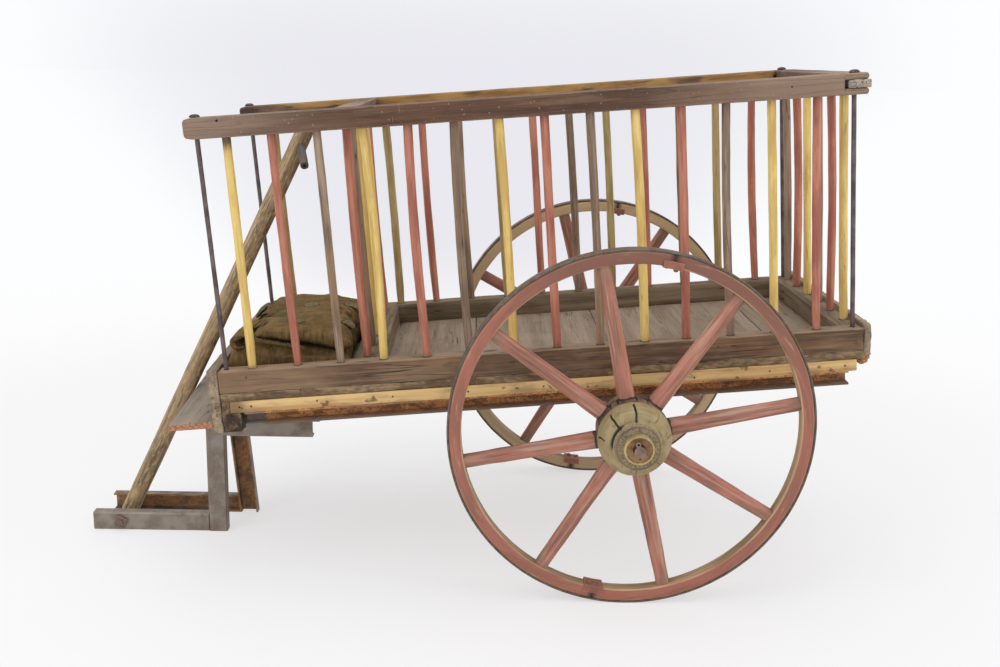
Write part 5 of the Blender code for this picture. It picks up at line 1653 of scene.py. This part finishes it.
class CART_OT_cushion(CartOperator):
    """Folded, stuffed seat cushion with tufts, a curled lip and a frayed seam"""
    bl_idname = "cart.cushion"
    bl_label = "Seat cushion"
    # Places on the top, seen from above: the tufts, and the lines of the folds
    tufts = ((-0.697, 0.030), (-0.704, -0.140), (-0.603, 0.035), (-0.594, -0.132))
    folds = (((-0.785, -0.205), (-0.720, -0.182), (-0.650, -0.176)),
             ((-0.800, -0.090), (-0.730, -0.062), (-0.620, -0.050)),
             ((-0.800, 0.030), (-0.720, 0.055), (-0.650, 0.078)),
             ((-0.640, 0.000), (-0.605, -0.035), (-0.585, -0.100)),
             ((-0.770, 0.120), (-0.690, 0.110), (-0.600, 0.135)))
    button = (-0.610, -0.132)
    # The flap: where it starts across the cart, its length, its middle and half width along, and its foot
    flap_start = 0.034
    flap_length = 0.080
    flap_middle = -0.8235
    flap_half = 0.0145
    flap_foot = 0.194

    def execute(self, context):
        settings = context.scene.cart_cushion
        low, high = body_span("seat_cushion")
        self.low, self.high = low, high
        inset = settings.puff * 0.8
        lip = high.x - low.x

        def fold(x):
            """Height of the opening between the two layers, which slopes down to the rear."""
            return high.z - 0.0150 - 0.245 * max(0.0, x - low.x - 0.080)

        def lower_top(x, y):
            front = fade(x - low.x, 0.07)
            return fold(x) - 0.0045 - 0.020 * front * front

        def upper_top(x, y):
            rear = max(0.0, (x - low.x) / lip - 0.66) / 0.34
            front = fade(x - low.x - 0.036, 0.05)
            far = max(0.0, (y - high.y + 0.10) / 0.10)
            crown = 0.0035 * wobble(x * 14, y * 9, 1.0)
            sunk = 0.014 * rear * rear
            return high.z - 0.0095 - sunk - 0.003 * far * (1 + 2 * rear) - 0.001 * front * front + crown
        lower = self.pad("seat_cushion_lower", (low.x + 0.003, high.x - inset),
                         (low.y + inset, high.y - inset), lower_top, lambda x, y: low.z + 0.003, settings)

        def upper_ground(x, y):
            return fold(x) + 0.0035 - 0.016 * clamp((y + 0.04) / 0.12)
        upper = self.pad("seat_cushion_upper", (low.x + 0.036, high.x - inset * 0.7),
                         (low.y + inset, high.y - inset), upper_top, upper_ground, settings)
        for piece, fill, creases in ((lower, 0.55, 0.6), (upper, 0.65, 1.0)):
            self.crease(piece, fold, creases, settings)
            piece.modifiers.new("Smooth cloth", 'SUBSURF').render_levels = 1
            self.declare(piece, fill)
        self.curled_lip(low)
        self.tabs(high)
        self.threads(fold, low)
        return {'FINISHED'}

    def declare(self, piece, fill):
        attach(piece, "cart")
        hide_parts("seat_cushion")

    def pad(self, name, along, across, top, bottom, settings):
        """One layer of the fold: a plump closed form, remeshed evenly and swollen as cloth."""
        form = Form()
        columns, rows = 36, 56
        centre = Vector((sum(along) / 2, sum(across) / 2, 0.0))
        half = Vector(((along[1] - along[0]) / 2, (across[1] - across[0]) / 2, 0.0))
        upper, lower = [], []
        for i in range(columns + 1):
            u = sin(pi / 2 * (2 * i / columns - 1))
            upper.append([])
            lower.append([])
            for j in range(rows + 1):
                v = sin(pi / 2 * (2 * j / rows - 1))
                x = centre.x + half.x * u * (1 - 0.035 * (1 - v * v))
                y = centre.y + half.y * v * (1 - 0.02 * (1 - u * u))
                ceiling, ground = top(x, y), bottom(x, y)
                middle = ground + (ceiling - ground) * 0.45
                edge = (max(0.0, 1 - abs(u) ** 5) * max(0.0, 1 - abs(v) ** 9)) ** 0.42
                above = form.add((x, y, middle + (ceiling - middle) * edge))
                rim = i in (0, columns) or j in (0, rows)
                upper[i].append(above)
                depth = (middle - ground) * min(1.0, edge * 1.5)
                lower[i].append(above if rim else form.add((x, y, middle - depth)))
        for i in range(columns):
            for j in range(rows):
                form.face((upper[i][j], upper[i + 1][j], upper[i + 1][j + 1], upper[i][j + 1]))
                form.face((lower[i][j], lower[i][j + 1], lower[i + 1][j + 1], lower[i + 1][j]))
        piece = form.piece(name, [cushion_cloth()], place=BODY)
        self.swell(piece, settings)
        return piece

    def settled(self, piece):
        """The piece's mesh as its modifiers leave it."""
        graph = bpy.context.evaluated_depsgraph_get()
        return bpy.data.meshes.new_from_object(piece.evaluated_get(graph))

    def swell(self, piece, settings):
        """Let air pressure swell the slack cloth, and hold each point within its reach."""
        even = piece.modifiers.new("Even mesh", 'REMESH')
        even.mode = 'VOXEL'
        even.voxel_size = settings.voxel
        piece.data = self.settled(piece)
        piece.modifiers.clear()
        scene = bpy.context.scene
        cloth = piece.modifiers.new("Swelling", 'CLOTH')
        cloth.settings.use_pressure = True
        cloth.settings.uniform_pressure_force = settings.pressure
        cloth.settings.shrink_min = -settings.slack
        cloth.settings.effector_weights.gravity = 0.0
        cloth.settings.quality = 6
        cloth.point_cache.frame_start = 1
        cloth.point_cache.frame_end = 20
        for number in range(1, 21):
            scene.frame_set(number)
        swollen = [vertex.co.copy() for vertex in self.settled(piece).vertices]
        piece.modifiers.clear()
        scene.frame_set(1)
        for vertex, end in zip(piece.data.vertices, swollen):
            move = end - vertex.co
            if move.length > settings.puff:
                move *= settings.puff / move.length
            vertex.co += move
        if not piece.data.materials:
            piece.data.materials.append(cushion_cloth())
        piece.data.shade_smooth()

    def crease(self, piece, fold, strength, settings):
        """Long soft wrinkles towards the rear, a few set folds, and painted shade in the wrinkle valleys, along
        the folds, round the tufts and in the opening.
        """
        mesh = piece.data
        mesh.update()
        low, high = self.low, self.high
        is_upper = "upper" in piece.name
        moved = []
        dark = []
        for vertex in mesh.vertices:
            point = BODY_INVERSE @ vertex.co
            normal = BODY_INVERSE.to_3x3() @ vertex.normal
            warp = wobble(point.x * 11, point.y * 7, point.z * 7)
            wave = wobble(point.x * 7, point.y * 24 + warp * 1.4, point.z * 24 + warp)
            fine = wobble(point.x * 22, point.y * 75 + warp * 3, point.z * 75)
            depth = min(0.45, abs(wave)) * 4.0 - 0.9 + min(0.3, abs(fine)) * 1.6
            lift = depth * settings.wrinkle * strength
            shade = 0.3 * bell(wave, 0.05) + 0.15 * bell(fine, 0.06)
            if is_upper and normal.z > 0.2:
                for line in self.folds:
                    near = self.distance(point, line)
                    lift -= 0.0036 * bell(near, 0.0055)
                    lift += 0.0016 * bell(near - 0.013, 0.007)
                    shade += 0.7 * bell(near, 0.0022)
                for x, y in self.tufts:
                    apart = (Vector((point.x, point.y)) - Vector((x, y))).length
                    lift -= 0.0085 * bell(apart, 0.021)
                    shade += 0.7 * bell(apart - 0.015, 0.006) * clamp((y - point.y) / 0.01)
            # Painted shade inside the opening between the two layers
            opening = abs(point.z - fold(point.x))
            inside = (point.x > low.x + 0.03) * bell(opening, 0.0042)
            shade += inside
            point += normal * lift
            for axis, (least, most) in enumerate(zip(low, high)):
                point[axis] = min(most - 0.0006, max(least + 0.0006, point[axis]))
            moved.append(BODY @ point)
            dark.append(min(1.0, shade))
        mesh.vertices.foreach_set("co", [value for point in moved for value in point])
        if is_upper:
            self.surface = [BODY_INVERSE @ point for point in moved]
        # The painted shade goes into the split attribute that the cloth's finish darkens
        split = mesh.attributes.get("split") or mesh.attributes.new("split", 'FLOAT', 'POINT')
        split.data.foreach_set("value", dark)
        mesh.update()

    def distance(self, point, line):
        """How far a point lies from a line of places on the top of the cushion, seen from above."""
        place = Vector((point.x, point.y))
        least = 1.0
        for first, second in zip(line, line[1:]):
            start, end = Vector(first), Vector(second)
            share = max(0.0, min(1.0, (place - start).dot(end - start) / (end - start).length_squared))
            least = min(least, (place - start.lerp(end, share)).length)
        return least

    def sheet(self, name, finish, rows, thickness, fill=0.2, seed=0.0):
        """A small thick flap of cloth through rows of points, rounded at its edges."""
        form = Form()
        rings = []
        for k, row in enumerate(rows):
            share = k / (len(rows) - 1)
            body = thickness * (0.35 + 0.65 * sin(pi * clamp(share)) ** 0.5)
            points = [Vector(p) for p in row]
            tangents = [(points[min(i + 1, len(points) - 1)] - points[max(i - 1, 0)]).normalized()
                        for i in range(len(points))]
            step = Vector(rows[min(k + 1, len(rows) - 1)][0]) - Vector(rows[max(k - 1, 0)][0])
            sides = [tangent.cross(step.normalized()).normalized() for tangent in tangents]
            ring = []
            for sign, order in ((1, range(len(points))), (-1, reversed(range(len(points))))):
                for i in order:
                    taper = sin(pi * (i + 0.6) / (len(points) + 0.2)) ** 0.4
                    ripple = noise.noise(points[i] * 90 + Vector((seed, 0, 0))) * 0.0011
                    point = points[i] + sides[i] * (sign * body * taper / 2 + ripple)
                    ring.append((point, tuple(point)))
            rings.append(ring)
        form.loft(rings)
        piece = form.piece(name, [finish], place=BODY, sharp=75)
        piece.modifiers.new("Smooth cloth", 'SUBSURF').render_levels = 2
        self.declare(piece, fill)

    def curled_lip(self, low):
        """The front lip of the lower layer curls up and back over itself, and a flap lies behind it."""
        profile = ((0.026, 0.073), (0.015, 0.080), (0.0095, 0.090), (0.0115, 0.0995), (0.019, 0.1055),
                   (0.031, 0.1075), (0.043, 0.105))
        rows = []
        for k in range(26):
            y = low.y + 0.010 + 0.180 * k / 25
            row = []
            for along, up in profile:
                sway = wobble(y * 22, along * 60, 2.0)
                sink = 0.009 * max(0.0, k / 25 - 0.4)
                row.append((low.x + 0.003 + along + 0.0035 * sway + 0.004 * k / 25, y,
                            low.z + up + 0.003 * sway - sink))
            rows.append(row)
        self.sheet("seat_cushion_lip", cushion_cloth(), rows, 0.008, seed=1.0)
        rows = []
        for k in range(14):
            y = self.flap_start + self.flap_length * k / 13
            rear = self.height(-0.808, y) - 0.0015
            slim = sqrt(max(0.2, 1.0 - abs(2 * k / 13 - 1) ** 6))
            row = []
            for across in (-1.0, -0.6, -0.2, 0.2, 0.6, 1.0):
                across *= slim
                sway = 0.0022 * wobble(y * 40, across, 7.0)
                bend = 0.005 * (1 - across * across)
                z = self.flap_foot + (rear - self.flap_foot) * (1 + across) / 2
                row.append((self.flap_middle + self.flap_half * across + sway, y, z + bend + sway))
            rows.append(row)
        self.sheet("seat_cushion_flap", tuft_cloth(), rows, 0.012, seed=5.0)

    def height(self, x, y):
        """How high the finished cushion's top stands at a place."""
        near = [point.z for point in self.surface if abs(point.x - x) < 0.005 and abs(point.y - y) < 0.005]
        return max(near) if near else self.high.z - 0.012

    def tabs(self, high):
        """Leaf-shaped tuft tabs on the top, lumps at the rear edge and one pale button."""
        shapes = ((0.036, 0.034, 0.25), (0.028, 0.026, 0.15), (0.044, 0.030, -0.75), (0.024, 0.044, -0.35))
        for number, ((x, y), (length, width, turn)) in enumerate(zip(self.tufts, shapes), start=1):
            rows = []
            ground = self.height(x, y) - 0.001
            for k in range(9):
                share = 2 * k / 8 - 1
                spread = sqrt(max(0.02, 1 - share * share))
                row = []
                for across in (-1.0, -0.5, 0.0, 0.5, 1.0):
                    a, b = share * length / 2, across * spread * width / 2
                    lift = 0.008 * (1 - share * share) * (1 - 0.5 * across * across)
                    at = Vector((x + a * cos(turn) - b * sin(turn), y + a * sin(turn) + b * cos(turn),
                                 ground + lift))
                    at.z = min(max(at.z, self.height(at.x, at.y) + 0.0005), high.z - 0.001)
                    row.append(at)
                rows.append(row)
            self.sheet(f"seat_cushion_tab_{number}", tuft_cloth(), rows, 0.0055, fill=0.1, seed=number * 4.0)
        form = Form()
        seat = self.height(*self.button) - 0.0004
        dome(form, (*self.button, seat), (0.1, -0.5, 1.0), 0.0042, 0.0030)
        form.piece("seat_cushion_button", [pale_thread()], place=BODY, slot="cushion_cloth")

    def threads(self, fold, low):
        """Frayed thread ends along the opening, and a few reddish ones at the curled lip."""
        form = Form()
        hem = [Vector((low.x + 0.052 + 0.0105 * i, low.y + 0.0105, fold(low.x + 0.052 + 0.0105 * i) - 0.0075))
               for i in range(13)]
        roll = Form()
        rings = []
        for i, middle in enumerate(hem):
            thick = 0.0036 * sin(pi * (i + 0.7) / 13.4) ** 0.4 * (1 + 0.2 * noise.noise(middle * 120))
            rings.append([(middle + Vector((0.0, thick * cos(turn), thick * sin(turn))), tuple(middle))
                          for turn in around(10)])
        roll.loft(rings)
        edge = roll.piece("seat_cushion_hem", [cushion_cloth()], place=BODY, sharp=75)
        edge.modifiers.new("Smooth cloth", 'SUBSURF').render_levels = 1
        self.declare(edge, 0.1)
        for i in range(40):
            share = i / 39
            x = low.x + 0.058 + 0.115 * share + 0.003 * wobble(i * 3.7, 0, 0)
            lean = drift(Vector((i * 1.9, 4.0, 0.0)))
            start = Vector((x, low.y + 0.012, fold(x) - 0.0035))
            size = 0.0040 + 0.004 * abs(lean.z)
            end = start + Vector((lean.x * 0.006, -0.0055 - 0.003 * abs(lean.y), lean.z * 0.003 + size * 0.2))
            round_bar(form, start, end, 0.00055, i, 5, 4, bow=(0.0, 0.0, 0.0015 + lean.y * 0.002))
        for i in range(12):
            lean = drift(Vector((i * 2.3, 9.0, 0.0)))
            start = Vector((low.x + 0.016 + 0.0022 * i, low.y + 0.010, low.z + 0.083 + 0.006 * lean.x))
            end = start + Vector((0.004 + lean.x * 0.006, -0.003, lean.z * 0.006))
            round_bar(form, start, end, 0.0006, i, 5, 4, bow=(0.0, 0.0, lean.y * 0.003))
        form.piece("seat_cushion_threads", [pale_thread()], place=BODY, slot="cushion_cloth")


class CART_OT_stage(CartOperator):
    """Pale floor and backdrop, soft lamps and the camera"""
    bl_idname = "cart.stage"
    bl_label = "Stage"

    def execute(self, context):
        settings = context.scene.cart_stage
        self.floor(settings)
        self.world(settings)
        self.lamps()
        self.camera(settings)
        context.scene.view_settings.view_transform = 'Standard'
        return {'FINISHED'}

    def floor(self, settings):
        """Wide floor that keeps a soft shadow near the cart and melts into the backdrop further off."""
        mesh = bpy.data.meshes.new("studio_floor")
        reach = settings.floor_reach
        mesh.from_pydata([(-reach, -reach, 0), (reach, -reach, 0), (reach, reach, 0), (-reach, reach, 0)], [],
                         [(0, 1, 2, 3)])
        made = bpy.data.objects.new("studio_floor", mesh)
        bpy.context.scene.collection.objects.link(made)
        finish = Finish("studio floor", True)
        mottle = finish.noise((0.7, 0.7, 0.7), 2)
        finish.ground(mottle, settings.floor, darker(settings.floor, 0.985))
        mesh.materials.append(finish.wear(0.6))
        distance = finish.node("VectorMath", {"operation": 'LENGTH'}, {0: finish.where}, "Value")
        aim = finish.node("VectorMath", {"operation": 'NORMALIZE'}, {0: finish.where})
        ahead = finish.node("SeparateXYZ", {}, {"Vector": aim}, "Y")
        # Painted shade on the far floor behind the cart
        backdrop_shade = finish.blend(ahead.between(0.92, 0.995), settings.backdrop, settings.backdrop_shade)
        glow = finish.blend(distance.between(1.0, 4.5), settings.floor_glow, backdrop_shade)
        shown = finish.seen() * (distance.between(1.3, 2.8) * (1 - settings.glow_share) + settings.glow_share)
        lit = Signal(finish, finish.shader.outputs[0])
        bright = finish.node("Emission", {}, {"Color": glow})
        mixed = finish.node("MixShader", {}, {0: shown, 1: lit, 2: bright})
        finish.put(mixed, finish.tree.nodes["Material Output"].inputs["Surface"])

    def world(self, settings):
        """The camera and gloss see the backdrop; the rest of the world only fills the shadows."""
        world = bpy.data.worlds.new("studio light")
        bpy.context.scene.world = world
        world.use_nodes = True
        sky = Network(world.node_tree)
        aim = sky.node("TexCoord", output="Generated")
        ahead = sky.node("SeparateXYZ", {}, {"Vector": aim}, "Y")
        rise = sky.node("SeparateXYZ", {}, {"Vector": aim}, "Z")
        # Painted shade on the backdrop straight behind the cart, near the horizon
        share = ahead.between(0.92, 0.995) * rise.between(0.16, -0.01)
        shown = sky.blend(share, settings.backdrop, settings.backdrop_shade)
        background = world.node_tree.nodes["Background"].inputs["Color"]
        sky.put(sky.blend(sky.seen(), settings.fill, shown), background)

    def lamps(self):
        lamps = (("key", (-2.6, -2.6, 3.6), 3.0, 62.0), ("side", (3.2, -1.6, 2.6), 2.6, 34.0),
                 ("top", (0.2, 0.6, 4.2), 3.4, 40.0))
        for name, place, size, power in lamps:
            light = bpy.data.lights.new(name, 'AREA')
            light.size = size
            light.energy = power
            lamp = bpy.data.objects.new(name, light)
            lamp.location = place
            aim = Vector((0.0, 0.0, 0.5)) - Vector(place)
            lamp.rotation_euler = aim.to_track_quat('-Z', 'Y').to_euler()
            bpy.context.scene.collection.objects.link(lamp)

    def camera(self, settings):
        yaw, pitch, roll = settings.yaw, settings.pitch, settings.roll
        forward = Vector((sin(yaw) * cos(pitch), cos(yaw) * cos(pitch), -sin(pitch)))
        right = Vector((cos(yaw), -sin(yaw), 0.0))
        down = forward.cross(right)
        across = right * cos(roll) + down * sin(roll)
        below = down * cos(roll) - right * sin(roll)
        data = bpy.data.cameras.new("camera")
        data.lens = settings.lens
        data.sensor_width = 36.0
        camera = bpy.data.objects.new("camera", data)
        turn = Matrix((across, -below, -forward)).transposed().to_4x4()
        camera.matrix_world = Matrix.Translation(Vector(settings.eye)) @ turn
        bpy.context.scene.collection.objects.link(camera)
        bpy.context.scene.camera = camera


class CART_PT_panel(bpy.types.Panel):
    """Lists the steps that dress the cart"""
    bl_label = "Cage cart"
    bl_idname = "CART_PT_panel"
    bl_space_type = 'VIEW_3D'
    bl_region_type = 'UI'
    bl_category = "Cage cart"

    def draw(self, context):
        for step in STEPS:
            self.layout.operator(step.bl_idname)


GROUPS = (("cart_timber", CartTimber), ("cart_sticks", CartSticks), ("cart_wheels", CartWheels),
          ("cart_cushion", CartCushion), ("cart_stage", CartStage))
STEPS = (CART_OT_rails, CART_OT_sticks, CART_OT_deck, CART_OT_ironwork, CART_OT_wheels, CART_OT_tongue,
         CART_OT_cushion, CART_OT_stage)


def register():
    for name, group in GROUPS:
        bpy.utils.register_class(group)
        setattr(bpy.types.Scene, name, PointerProperty(type=group))
    for step in STEPS + (CART_PT_panel,):
        bpy.utils.register_class(step)


def unregister():
    for step in (CART_PT_panel,) + STEPS[::-1]:
        bpy.utils.unregister_class(step)
    for name, group in GROUPS[::-1]:
        delattr(bpy.types.Scene, name)
        bpy.utils.unregister_class(group)


def main():
    register()
    for step in STEPS:
        group, action = step.bl_idname.split(".")
        getattr(getattr(bpy.ops, group), action)()


if __name__ == "__main__":
    main()
